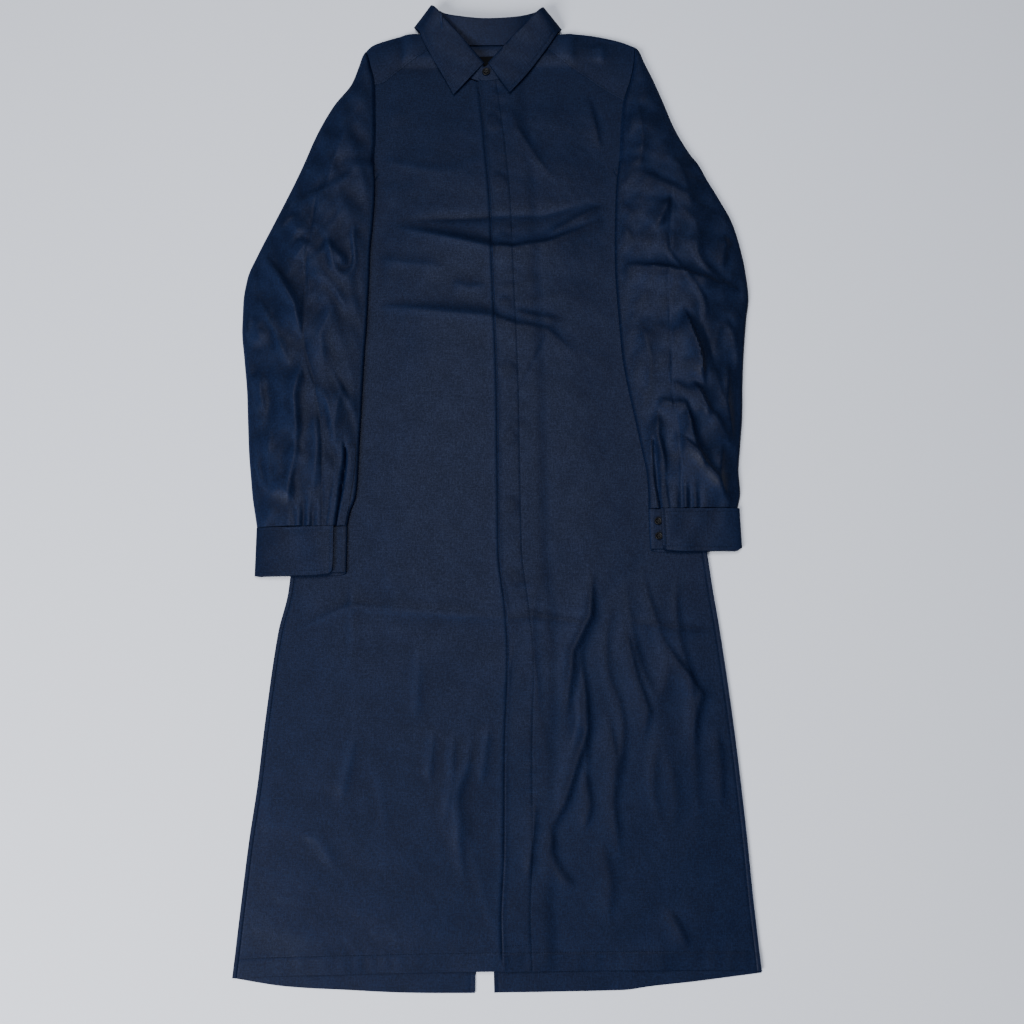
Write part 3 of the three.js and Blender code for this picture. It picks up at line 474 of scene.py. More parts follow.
WAVE_HEIGHT = 0.42
CRUMPLE_HEIGHT = 0.07
SKIRT_CREASES = {"seed": 61, "across": 46, "along": 150, "height": 1.5}
CHEST_CREASES = {"seed": 67, "across": 52, "along": 170, "height": 1.0}
FRONT_LOFT = 2.4
CRISP_REACH = 26
SOFT_REACH = 80
SIDE_FADE = 30
CUFF_BOTTOM = {"right": -155, "left": -131}


def clear_of_sleeves(x, y, reach):
    """0 under a sleeve or cuff and 1 further than the reach from it, so that the body stays flat beneath."""
    right = np.minimum(x, 0) * -1
    left = np.maximum(x, 0)
    away = []
    for side, across in (("right", right), ("left", left)):
        inner, bottom = SLEEVE_INNER[side](y), CUFF_BOTTOM[side]
        away.append(np.maximum(ease(across, inner - 3, inner - reach), ease(y, bottom - 4, bottom - reach)))
    return np.minimum(*away)


def front_rise(x, y):
    """How far the front stands above its flat place, the same for both lapped layers."""
    from_side = np.minimum(x - SIDE_EDGE["right"](y), SIDE_EDGE["left"](y) - x)
    crisp = clear_of_sleeves(x, y, CRISP_REACH) * ease(from_side, 0, SIDE_FADE) * ease(y, 512, 476)
    soft = clear_of_sleeves(x, y, SOFT_REACH) * ease(from_side, 0, SOFT_REACH) * ease(y, 520, 380)
    near_hem = blend(0.45, 1.0, ease(y, -617, -570))
    rise = crease_height(FRONT_CREASES, x, y)
    rise = rise + waves(x, y, 3, WAVE_LENGTHS, WAVE_HEIGHT) + waves(x, y, 8, CRUMPLE_LENGTHS, CRUMPLE_HEIGHT)
    rise = rise + small_creases(x, y, **SKIRT_CREASES) * ease(y, -60, -260)
    rise = rise + small_creases(y, x, **CHEST_CREASES) * ease(y, 90, 200) * ease(y, 470, 380)
    rise = np.where(rise > 0, rise * crisp, rise * soft)
    return np.maximum(rise + FRONT_LOFT * soft, 0) * near_hem


print("creases on the fronts:", len(FRONT_CREASES))

# %% [markdown]
# The folded collar passes under the neck, so the cloth above it is lifted a little there. The grid of a
# front is a fan of columns, close together along the placket and the side seam, where the stitched
# grooves need fine steps, and about 3 mm apart elsewhere.

# %% Grids of the two fronts
COLLAR_LIFT = {"centre": -7, "reach": 112, "fade": 13}
FRONT_LIFT = {"height": 2.9, "start": 556, "end": 572}
YOKE_LIFT = {"height": 1.9, "start": 574, "end": 584}
STRAIGHT_TOP = 455
HEM_Y = -617
HEM_BAND = 20
GROOVE_HALF = 1.1
FRONT_TOP = {
    "right": [(-162.4, 533), (-151, 536), (-137, 548), (-123, 560), (-110, 569.5), (-97, 579), (-81, 590),
              (-74, 583), (-61, 564), (-45, 547), (-27, 536), (-8, 532), (9, 532)],
    "left": [(178.5, 502), (157, 516), (145, 525), (134, 534), (112, 552), (90, 571), (71, 587), (66, 583),
             (57, 577), (45, 559), (29, 545.8), (11, 536.6), (-6, 534.2), (-20, 534.8)],
}
FRONT_HEM = curve_through([(-309, -621), (-250, -619), (0, -617), (240, -618), (297, -620)])
UNDERLAP_WIDTH = 28
SIDE_COLUMNS = [0, 1, 2.4, 3.8, 4.4, 5, 5.6, 6.4, 8.5, 11, 14]
BAND_COLUMNS = [1.5, 1.36, 1.25, 1.17, 1.12, 1.08, 1.05, 1.03, 1.0, 0.97, 0.94, 0.86, 0.76, 0.66, 0.56, 0.46,
                0.36, 0.26, 0.18, 0.11, 0.06, 0.02, 0]
HIDDEN_BUTTONS = [470, 380, 290, 200, 110, 20, -70, -160]
HIDDEN_BUTTON_HEIGHT = 0.8
HEAD_ROWS = 40
TURN_HEIGHT = 0.4
SEAM_FROM_SIDE = 5
MIDDLE_COLUMNS = 72
HEM_ROWS = [0, 0.8, 2, 4, 7, 10, 13, 16, 18, 19.2, 20, 20.8, 22, 24.5]
ROW_STEP = 3.1


def collar_lift(x, y, lift):
    """How far the folded collar under it raises a layer."""
    reach = COLLAR_LIFT["reach"]
    across = ease(np.abs(x - COLLAR_LIFT["centre"]), reach + COLLAR_LIFT["fade"], reach)
    return lift["height"] * ramp(y, lift["start"], lift["end"]) * across


def panel_heights(hem_rows=HEM_ROWS, step=ROW_STEP, top=STRAIGHT_TOP):
    """Heights of the rows of a body panel, close together at the hem."""
    first = HEM_Y + hem_rows[-1]
    count = int((top - first) / step)
    return np.concatenate([[HEM_Y + row for row in hem_rows], np.linspace(first, top, count + 1)[1:]])


def puckers(distance, y, height, reach):
    """Small uneven gathers along a stitched line at distance 0."""
    beat = np.sin(y / 3.1 + 2.2 * np.sin(y / 23)) + 0.7 * np.sin(y / 5.3 + 1.7 * np.sin(y / 41))
    return height * beat * np.exp(-(distance / reach) ** 2) * (0.6 + 0.4 * np.sin(y / 37))


def groove(distance, depth, half=GROOVE_HALF):
    """A narrow stitched groove at distance 0."""
    return -depth * np.exp(-(distance / half) ** 2)


def front_grid(side):
    """Middle points of one front, from the hem up, and from the side seam to the centre edge."""
    lapped_under = UNDERLAP_WIDTH if side == "right" else 0
    sign = -SIDES[side]
    table = FRONT_TOP[side]
    top_y = curve_through(table)
    shares = np.linspace(0, 1, MIDDLE_COLUMNS + 2)[1:-1]
    top_x = np.array([table[0][0], table[-1][0]])

    def across(side_x, inner_x, band):
        near_side = side_x + sign * np.array(SIDE_COLUMNS)
        near_edge = inner_x - sign * np.array(BAND_COLUMNS) * band
        return np.concatenate([near_side, blend(near_side[-1], near_edge[0], shares), near_edge])

    rows = []
    for y in panel_heights():
        band = lapped_under if lapped_under else float(BAND_WIDTH(y))
        x = across(float(SIDE_EDGE[side](y)), float(PLACKET_EDGE(y)) + lapped_under, band)
        rows.append(np.stack([x, np.full(len(x), y)], axis=1))
    foot = rows[-1]
    head_x = across(top_x[0], top_x[1], float(BAND_WIDTH(500)))
    head_y = top_y(head_x)
    for share in np.linspace(0, 1, HEAD_ROWS)[1:]:
        y = blend(STRAIGHT_TOP, head_y, share)
        x = blend(foot[:, 0], head_x, share)
        pull = SIDE_EDGE[side](y[0]) - x[0]
        x = x + pull * ramp(np.arange(len(x)), 20, 0) ** 2
        rows.append(np.stack([x, y], axis=1))
    return np.array(rows)


def front_piece(side):
    """One front with its hem, side seam and, on the wearer's left, the placket band."""
    plan = front_grid(side)
    x, y = plan[..., 0], plan[..., 1].copy()
    y += (FRONT_HEM(x) - HEM_Y) * ease(y, HEM_Y + 60, HEM_Y)
    above_hem = y - FRONT_HEM(x)
    z = FRONT_Z + front_rise(x, y) + collar_lift(x, y, FRONT_LIFT)
    z += TURN_HEIGHT * ease(above_hem, HEM_BAND + 4, HEM_BAND - 2) + groove(above_hem - HEM_BAND, 0.25)
    z += puckers(above_hem - HEM_BAND + 6, x, 0.16, 12)
    z += ease(above_hem, 34, 2) * (0.9 + waves(x, 0 * x, 17, (163, 97, 71), 0.9)).clip(0.1, 2.4)
    from_side = np.abs(x - SIDE_EDGE[side](y))
    side_seam = groove(from_side - SEAM_FROM_SIDE, 0.55, 0.8) + TURN_HEIGHT * ease(from_side, 5.4, 4.6)
    z += np.where(y < UNDERARM_Y, side_seam, 0)
    from_edge = x - PLACKET_EDGE(y)
    if side == "left":
        band = BAND_WIDTH(y)
        z += LAP_STEP * ease(from_edge, 64, 46)
        z += TURN_HEIGHT * ease(from_edge, band + 2.4, band - 2) + groove(from_edge - band, 0.3)
        z += puckers(from_edge - band, y, 0.26, 8) + 0.5 * np.exp(-(from_edge / 2.5) ** 2)
        for button_y in HIDDEN_BUTTONS:
            from_button = np.hypot(from_edge - band / 2, (y - button_y) * 0.7)
            z += HIDDEN_BUTTON_HEIGHT * ease(from_button, 12, 5)
    else:
        z += groove(from_edge + 1.6, 1.5, 1.9) * ease(y, -610, -600)
    grid = np.dstack([x, y, z])
    return cloth_piece(f"front_{side}_cloth", grid)


fronts = {side: front_piece(side) for side in SIDES}

# %% [markdown]
# ## Back
# The back lies flat on the floor under everything else. Its two halves meet in a centre seam that
# opens into a vent towards the hem, and its hem shows a little below the front. It rises slightly off
# the floor under the body's creases, never as far as the front does.

# %% Two halves of the back
BACK_CREASES = [
    Crease([(-120, 300), (-20, 282), (120, 300)], 1.6, 14, 0.4),
    Crease([(-60, -160), (-84, -290), (-76, -420)], 1.8, 12, 0.4),
    Crease([(80, -140), (104, -260), (92, -400)], 2.0, 10, 0.5),
    Crease([(150, -260), (182, -380), (176, -500)], 1.6, 12, 0.3),
    Crease([(-180, -300), (-206, -420), (-196, -520)], 1.5, 12, 0.3),
    Crease([(-230, -214), (-60, -204), (100, -216), (240, -212)], 1.6, 9, 0.2),
]
BACK_YOKE_Y = 470
VENT_TOP = -240
VENT_GAP = 22
BACK_HEM = curve_through([
    (-309, -621), (-244, -631), (-181, -635), (-106, -639), (-32, -640), (136, -639), (171, -635),
    (215, -631), (297, -622)])
BACK_HEM_ROWS = [0, 0.8, 2, 4, 7, 10, 14, 18, 19.2, 20, 20.8, 22, 26, 31, 37]
BACK_STEP = 7.5
CENTRE_COLUMNS = [0, 0.8, 2.4, 4.4, 5, 5.6, 8, 12]
BACK_MIDDLE = 34


def back_piece(side):
    """One half of the back, from the side seam to the centre seam."""
    direction = SIDES[side]
    heights = panel_heights(BACK_HEM_ROWS, BACK_STEP, BACK_YOKE_Y - SEAM_GAP)
    seam = blend(-6, -20, ramp(heights, BACK_YOKE_Y, HEM_Y))
    gap = blend(SEAM_GAP, VENT_GAP, ramp(heights, VENT_TOP, HEM_Y))
    centre = seam + direction * gap / 2
    edge = SIDE_EDGE[side](heights)
    near = centre[:, None] + direction * np.array(CENTRE_COLUMNS)[None, ::-1]
    shares = np.linspace(0, 1, BACK_MIDDLE + 1)[None, :-1]
    x = np.concatenate([edge[:, None] + (near[:, :1] - edge[:, None]) * shares, near], axis=1)
    y = np.repeat(heights[:, None], x.shape[1], axis=1)
    y = y + (BACK_HEM(x) - HEM_Y) * ease(y, HEM_Y + 60, HEM_Y)
    above_hem = y - BACK_HEM(x)
    under_front = ease(above_hem, 20, 60)
    rise = front_rise(x, np.minimum(y, 468))
    lift = np.minimum(0.55 * rise, np.maximum(crease_height(BACK_CREASES, x, y) + 0.4, 0)) * under_front
    lift = lift + 0.5 * ease(above_hem, 25, 0) * (1 + waves(x, y, 5, (120, 83, 61), 0.7)).clip(0, 2)
    lift = lift + 0.3 * ease(above_hem, HEM_BAND + 1, HEM_BAND - 1) + groove(above_hem - HEM_BAND, 0.3)
    in_vent = ramp(y, VENT_TOP + 10, VENT_TOP)
    lift = lift + in_vent * groove(np.abs(x - centre[:, None]) - 5, 0.3)
    grid = np.dstack([x, y, BACK_Z - 0.1 + np.maximum(lift, 0)])
    return cloth_piece(f"back_{side}_cloth", grid)


backs = {side: back_piece(side) for side in SIDES}

# %% [markdown]
# ## Yoke
# The yoke covers the upper back and folds forward over both shoulders, down to the slanting seams on
# the fronts. A maker lays its turned edge over the front and stitches it down, so its front edge
# stands a little above the panel. Each column of the grid goes up the back, round the shoulder fold
# and down to that seam, and the middle columns stop at the back of the neck.

# %% Yoke over the shoulders
YOKE_COLUMNS = [
    # foot on the back seam, shoulder fold or back neck x and y, front seam x and y
    (-162, -176, 583, -163, 533), (-149, -167, 592, -151, 536), (-136, -150, 599, -137, 548),
    (-120, -130, 605, -123, 560), (-107, -113, 608.5, -110, 569.5), (-93, -100, 608, -97, 579),
    (-80, -87, 606, -81, 590), (-60, -68, 597, -68, 597), (-40, -41, 590.4, -41, 590.4),
    (-5, -3, 589.2, -3, 589.2), (33, 35, 590.2, 35, 590.2), (55, 58, 596, 58, 596),
    (70, 76, 602, 71, 587), (90, 92, 604, 90, 571), (112, 114, 605, 112, 552), (134, 138, 602, 134, 534),
    (147, 156, 598, 145, 525), (158, 177, 592, 157, 516), (175, 197, 583, 178.5, 502),
]
YOKE_STEPS = 5
RIGHT_SHOULDER_END = 6
LEFT_SHOULDER_START = 12
YOKE_BACK_ROWS = 40
YOKE_FOLD_ROWS = 7
YOKE_FRONT_ROWS = 26
SHOULDER_LOOP = 4.0
YOKE_SEAM_STEP = 0.7
SEAM_TUCK = 1.2


def yoke_piece():
    """The yoke as one grid: its columns run along the shoulders and its rows from back to front."""
    columns = smooth_path(YOKE_COLUMNS, YOKE_STEPS)
    place = np.linspace(0, len(YOKE_COLUMNS) - 1, len(columns))
    on_shoulder = (place <= RIGHT_SHOULDER_END) | (place >= LEFT_SHOULDER_START)
    grid = []
    for k, (back_x, top_x, top_y, seam_x, seam_y) in enumerate(columns):
        y = blend(BACK_YOKE_Y, top_y - 1.5, np.linspace(0, 1, YOKE_BACK_ROWS))
        x = blend(back_x, top_x, ramp(y, BACK_YOKE_Y, top_y))
        if k in (0, len(columns) - 1):
            x = SIDE_EDGE["right" if k == 0 else "left"](y)
        z = BACK_Z - 0.1 + collar_lift(x, y, YOKE_LIFT)
        turn = np.linspace(-math.pi / 2, math.pi / 2, YOKE_FOLD_ROWS)[1:]
        fold_y = top_y - 1.5 + 1.5 * np.cos(turn)
        fold_z = z[-1] + SHOULDER_LOOP / 2 * (1 + np.sin(turn))
        share = np.linspace(0, 1, YOKE_FRONT_ROWS)[1:]
        front_y = blend(top_y - 1.5, seam_y - SEAM_TUCK, share)
        front_x = blend(top_x, seam_x, share)
        if k in (0, len(columns) - 1):
            front_x = SIDE_EDGE["right" if k == 0 else "left"](front_y)
        flat_z = FRONT_Z + YOKE_SEAM_STEP + collar_lift(front_x, front_y, FRONT_LIFT)
        swell = 1.6 * np.sin(math.pi * share) * ease(abs(front_x - COLLAR_LIFT["centre"]), 84, 110)
        creases = crease_height(FRONT_CREASES, front_x, front_y) * 0.6 * ease(share, 0, 0.3)
        front_z = blend(fold_z[-1], flat_z, ease(share, 0, 1)) + swell + creases
        grid.append(np.column_stack([
            np.concatenate([x, np.full(len(turn), x[-1]), front_x]),
            np.concatenate([y, fold_y, front_y]), np.concatenate([z, fold_z, front_z])]))
    grid = np.array(grid)
    keep = np.ones((grid.shape[0] - 1, grid.shape[1] - 1), bool)
    middle = ~(on_shoulder[:-1] & on_shoulder[1:])
    keep[middle, YOKE_BACK_ROWS - 1:] = False
    return cloth_piece("yoke_cloth", grid, keep=keep)


yoke = yoke_piece()

# %% [markdown]
# ## Collar
# A shirt collar has two parts: a stand that rises from the neck seam, and a fall that turns over at the
# roll line and ends in two points on the chest. Three curves run round the neck from one front end to
# the other: the neck seam, the roll line and the outer edge. Every cross-section is drawn between them.

# %% Collar curves
COLLAR_STATIONS = [
    # neck seam, roll line, outer edge, and how quickly the fall drops from the roll
    ((-12, 533.5, 3.0), (-12.5, 558, 9.5), (-54, 512, 6.4), 0.9),
    ((-27, 537.5, 3.2), (-30, 579, 13), (-67, 538, 7), 0.9),
    ((-44, 549, 3.8), (-48, 601, 16.5), (-81, 565, 8), 0.9),
    ((-60, 566, 5.2), (-66, 622, 20), (-94, 591, 9.6), 0.9),
    ((-79, 594, 8), (-80, 638, 22.5), (-103, 612, 10.4), 0.95),
    ((-84, 602, 6), (-84.5, 643, 19), (-109, 618, 5.6), 1),
    ((-80, 602.5, 4.4), (-79, 640, 15), (-103, 613, 2), 2.2),
    ((-66, 598.2, 4), (-66, 632, 15.5), (-85, 600, 0.9), 2.8),
    ((-41, 591.8, 3.7), (-48, 626, 18), (-55, 590, 0.9), 3),
    ((-3, 590.6, 3.7), (-11, 620, 20), (-10, 587, 0.9), 3),
    ((35, 591.6, 3.7), (36, 622, 20), (40, 588, 0.9), 3),
    ((56, 597.2, 4), (54, 628, 17), (70, 594, 0.9), 2.8),
    ((69, 599.5, 4.4), (65, 634, 15), (90, 607, 2), 2.2),
    ((73, 598.5, 6), (71, 637, 19), (96, 611, 5.6), 1),
    ((69, 592.5, 8), (66, 631, 22.5), (90, 603, 10.4), 0.95),
    ((55.5, 578.5, 6), (50, 616, 20.5), (77, 583, 9.6), 0.9),
    ((43.6, 560.4, 5.4), (31, 597, 17), (60, 559, 8.4), 0.9),
    ((28, 546.6, 4.8), (13, 578, 13.5), (42, 535, 8.2), 0.9),
    ((6, 535.6, 4.6), (-6, 558, 9.5), (23, 512.5, 9), 0.9),
]
COLLAR_STEPS = 8
FALL_POINTS = 26
ROLL_POINTS = 7
STAND_POINTS = 12
ROLL_GAP = 1.9
COLLAR_STITCH = 5.0

neck_line, roll_line, edge_line = (
    smooth_path([station[part] for station in COLLAR_STATIONS], COLLAR_STEPS) for part in range(3))
edge_line[:, 2] = np.maximum(edge_line[:, 2], STIFF_WALL / 2 + 0.1)
drop_power = np.interp(
    np.linspace(0, 1, len(neck_line)), np.linspace(0, 1, len(COLLAR_STATIONS)),
    [station[3] for station in COLLAR_STATIONS])
print("collar sections:", len(neck_line))


def fall_section(k):
    """Points of the fall from the roll line down to the outer edge."""
    share = 1 - (1 - np.linspace(0, 1, FALL_POINTS)) ** 1.25
    points = blend(roll_line[k], edge_line[k], share[:, None])
    low, high = edge_line[k][2], roll_line[k][2]
    points[:, 2] = low + (high - low) * (1 - share) ** drop_power[k]
    return points


def inward_at(k):
    """Direction from the roll line into the neck, square to the start of the fall."""
    before, after = roll_line[max(0, k - 1)], roll_line[min(len(roll_line) - 1, k + 1)]
    fall = fall_section(k)
    direction = np.cross(fall[FALL_POINTS // 4] - roll_line[k], after - before)
    direction /= np.linalg.norm(direction)
    return direction if direction @ (neck_line[k] - roll_line[k]) > 0 else -direction


inwards = np.array([inward_at(k) for k in range(len(neck_line))])
stand_tops = roll_line + inwards * ROLL_GAP

# %% Fall of the collar, turned over at the roll line


def fall_piece():
    """The fall, with a round turn from the top of the stand, and a stitched line near its edges."""
    rows = []
    for k in range(len(roll_line)):
        fall = fall_section(k)
        middle = (stand_tops[k] + roll_line[k]) / 2
        spread = (roll_line[k] - stand_tops[k]) / 2
        down = fall[FALL_POINTS // 3] - roll_line[k]
        rise = -down / np.linalg.norm(down) * np.linalg.norm(spread)
        turn = np.linspace(math.pi, 0, ROLL_POINTS + 1)[:-1]
        roll = middle + np.cos(turn)[:, None] * spread + np.sin(turn)[:, None] * rise
        rows.append(np.vstack([roll, fall]))
    grid = np.array(rows)
    across = np.concatenate([[0], np.cumsum(np.linalg.norm(np.diff(edge_line, axis=0), axis=1))])
    from_end = np.minimum(across, across[-1] - across)[:, None]
    from_edge = np.linalg.norm(grid - edge_line[:, None], axis=2)
    dent = groove(from_edge - COLLAR_STITCH, 0.35) + groove(from_end - COLLAR_STITCH, 0.35)
    soft = waves(grid[..., 0], grid[..., 1], 12, (58, 41, 33), 0.35) * ease(from_edge, 0, 18)
    on_fall = np.arange(grid.shape[1]) >= ROLL_POINTS
    grid[..., 2] += np.where(on_fall, dent + soft + 0.3, 0)
    return cloth_piece("collar_fall_cloth", grid, STIFF_WALL, flat=surface_map(grid))


fall = fall_piece()

# %% Stand of the collar, lapped at the centre front
STAND_UNDER_END = [
    # foot and top of each section
    ((12, 539, 2.4), (12, 547, 3.1)), ((7, 537.6, 2.4), (7, 549.8, 3.3)), ((0, 536.5, 2.4), (0, 551, 3.5))]
STAND_UPPER_END = [
    ((-9, 534, 4.6), (-9, 554.5, 7.5)), ((-16, 534.4, 4.6), (-16, 552, 7.1)),
    ((-20, 538, 5.0), (-20, 546, 6.3))]
UNDER_LAP_TOP = (-12, 552.5, 4.6)


def stand_piece():
    """The stand from its lower front end, round the neck, to its upper front end."""
    feet = [foot for foot, top in STAND_UNDER_END] + list(neck_line) + [foot for foot, top in STAND_UPPER_END]
    tops = [top for foot, top in STAND_UNDER_END] + [UNDER_LAP_TOP] + list(stand_tops[1:])
    tops += [top for foot, top in STAND_UPPER_END]
    share = np.linspace(0, 1, STAND_POINTS)[None, :, None]
    grid = blend(np.array(feet)[:, None], np.array(tops)[:, None], share)
    return cloth_piece("collar_stand_cloth", grid, STIFF_WALL, flat=surface_map(grid))


stand = stand_piece()

# %% [markdown]
# ## Sleeves
# A sleeve lies flat as a tube with a fold along each side. Its lower layer rests on the body's side and
# on the floor beyond it, and its upper layer stands off it in a low arch with deep creases at the bend
# of the arm. Above the underarm the tube is open towards the armhole, where it is set into the body.

# %% Creases of the sleeves
SLEEVE_CREASES = {
    "right": [
        Crease([(-312, 282), (-284, 244), (-260, 200), (-247, 140)], 4.6, 10, 0.7),
        Crease([(-246, 130), (-257, 78), (-252, 30), (-256, -4)], 4.0, 9, 0.6),
        Crease([(-250, 20), (-259, -30), (-262, -72)], 3.2, 8, 0.5),
        Crease([(-244, 294), (-252, 280), (-266, 262)], 2.6, 9, 0.4),
        Crease([(-224, 294), (-212, 276), (-192, 256)], 3.0, 9, 0.5),
        Crease([(-314, 224), (-288, 170), (-262, 112)], 3.2, 10, 0.5),
        Crease([(-304, 116), (-302, 84), (-294, 50)], 2.8, 9, 0.5),
        Crease([(-206, 208), (-226, 160), (-220, 110)], 2.2, 11, 0.3),
        Crease([(-196, 100), (-206, 40), (-202, -10)], 2.0, 9, 0.3),
        Crease([(-286, 40), (-290, 0), (-284, -50)], 1.6, 9, 0.4),
        Crease([(-232, 60), (-226, 10), (-230, -60)], 2.2, 8, 0.4),
        Crease([(-196, 470), (-212, 420), (-228, 360)], 1.8, 14, 0.3),
        Crease([(-276, 330), (-262, 310), (-250, 302)], 2.0, 9, 0.3),
        Crease([(-318, 190), (-306, 160), (-300, 140)], 2.2, 8, 0.3),
    ],
    "left": [
        Crease([(164, 254), (231, 242), (286, 224), (330, 214)], 4.6, 11, 0.8),
        Crease([(242, 194), (252, 160), (262, 128), (266, 78)], 6.4, 9, 0.9),
        Crease([(262, 190), (276, 140), (284, 96)], -2.0, 8, 0),
        Crease([(250, 90), (262, 66), (272, 38)], 4.0, 8, 0.7),
        Crease([(238, 70), (248, 16), (262, -30)], 4.4, 8, 0.7),
        Crease([(222, 26), (250, -6), (276, -40), (294, -72)], 4.2, 8, 0.6),
        Crease([(236, 352), (228, 330), (212, 298)], 3.0, 9, 0.5),
        Crease([(306, 300), (304, 276), (298, 240)], 2.4, 9, 0.4),
        Crease([(186, 180), (200, 120), (196, 70)], 1.8, 11, 0.3),
        Crease([(300, 120), (294, 60), (300, 10)], 3.2, 9, 0.5),
        Crease([(206, 60), (204, 20), (214, -40)], 2.6, 8, 0.5),
        Crease([(262, 60), (284, 30), (300, 0)], 2.6, 8, 0.4),
        Crease([(286, 10), (280, -30), (284, -66)], 2.8, 8, 0.5),
        Crease([(196, 500), (202, 440), (196, 390)], 2.2, 12, 0.3),
        Crease([(238, 420), (256, 380), (262, 330)], 2.0, 14, 0.3),
        Crease([(200, 66), (226, 56), (246, 60)], 2.4, 7, 0.4),
    ],
}
SLEEVE_UNDER_CREASES = {
    side: [
        Crease([(sign * 290, 260), (sign * 250, 190), (sign * 262, 90)], 1.8, 12, 0.4),
        Crease([(sign * 220, 160), (sign * 236, 60), (sign * 228, -40)], 1.6, 11, 0.3),
        Crease([(sign * 280, 60), (sign * 270, 0), (sign * 276, -60)], 1.6, 10, 0.3),
    ] for side, sign in SIDES.items()
}
ARCH = curve_through([
    (-92.5, 4.6), (-76, 5), (-54, 6), (-30, 7.4), (5, 8.4), (45, 9.2), (88, 9.6), (280, 9.8), (314, 9.2),
    (350, 8.6), (415, 8.6), (455, 8), (499, 6.6), (533, 4.6), (560, 3.6), (577, 2.4), (583, 1.6)])
print("creases on the sleeves:", {side: len(creases) for side, creases in SLEEVE_CREASES.items()})

# %% [markdown]
# The seam of a sleeve runs along its upper layer, and near the wrist the sleeve is gathered in small
# pleats where it enters the cuff. The opening beside it lets the hand through: a slit with a bound
# edge. All of these are added to the height of the upper layer, row by row.

# %% Grid of a sleeve
SLEEVE_END = {"right": -92.5, "left": -76}
SLEEVE_TIP = 583
SLOT_BOTTOM = 408
ARMHOLE_TUCK = -1.2
TUCK_DROP = 0.9
FOLD_RADIUS = 2.6
FOLD_OPENING = 3.2
SLEEVE_STEP = 3.6
UPPER_POINTS = 88
LOWER_POINTS = 26
COVER_PLATEAU = 25
COVER_RAMP = 25
SLEEVE_SEAM = {
    "right": curve_through([(-96, 218), (19, 221), (91, 232), (164, 248), (243, 248), (396, 232)]),
    "left": curve_through([(-51, 231), (12, 232), (69, 225), (149, 227), (216, 226), (284, 231), (396, 240)]),
}
OPENING_TOP = 18
OPENING_LINE = {
    "right": curve_through([(-92.5, 201.5), (-59, 197), (-1, 191), (18, 193)]),
    "left": curve_through([(-76, 204), (-50, 201.5), (-26, 200.5), (20, 199)]),
}
SLIT_HALF = {"right": 1.3, "left": 2.8}
SLIT_DEPTH = 4.2
SLEEVE_WAVES = (71, 52, 43, 31)
SLEEVE_RIPPLES = (23, 18, 15)
SLEEVE_SMALL_CREASES = {"across": 34, "along": 80, "height": 2.2}
SLEEVE_CREASE_SHARE = 1.2
PLEAT_HEIGHT = 1.6
PLEAT_REACH = 46
LOWEST_DENT = -6


def cover_height(across, y, side):
    """Height of what a sleeve lies on: the body's side, and beyond it the floor."""
    flat = np.abs(SIDE_EDGE[side](np.minimum(y, UNDERARM_Y - 60))) + COVER_PLATEAU
    flat = np.where(y > UNDERARM_Y - 60, np.abs(SIDE_EDGE[side](y)) + COVER_PLATEAU, flat)
    return COVER_STEP * ease(across, flat + COVER_RAMP, flat) * ramp(y, 415, 402)


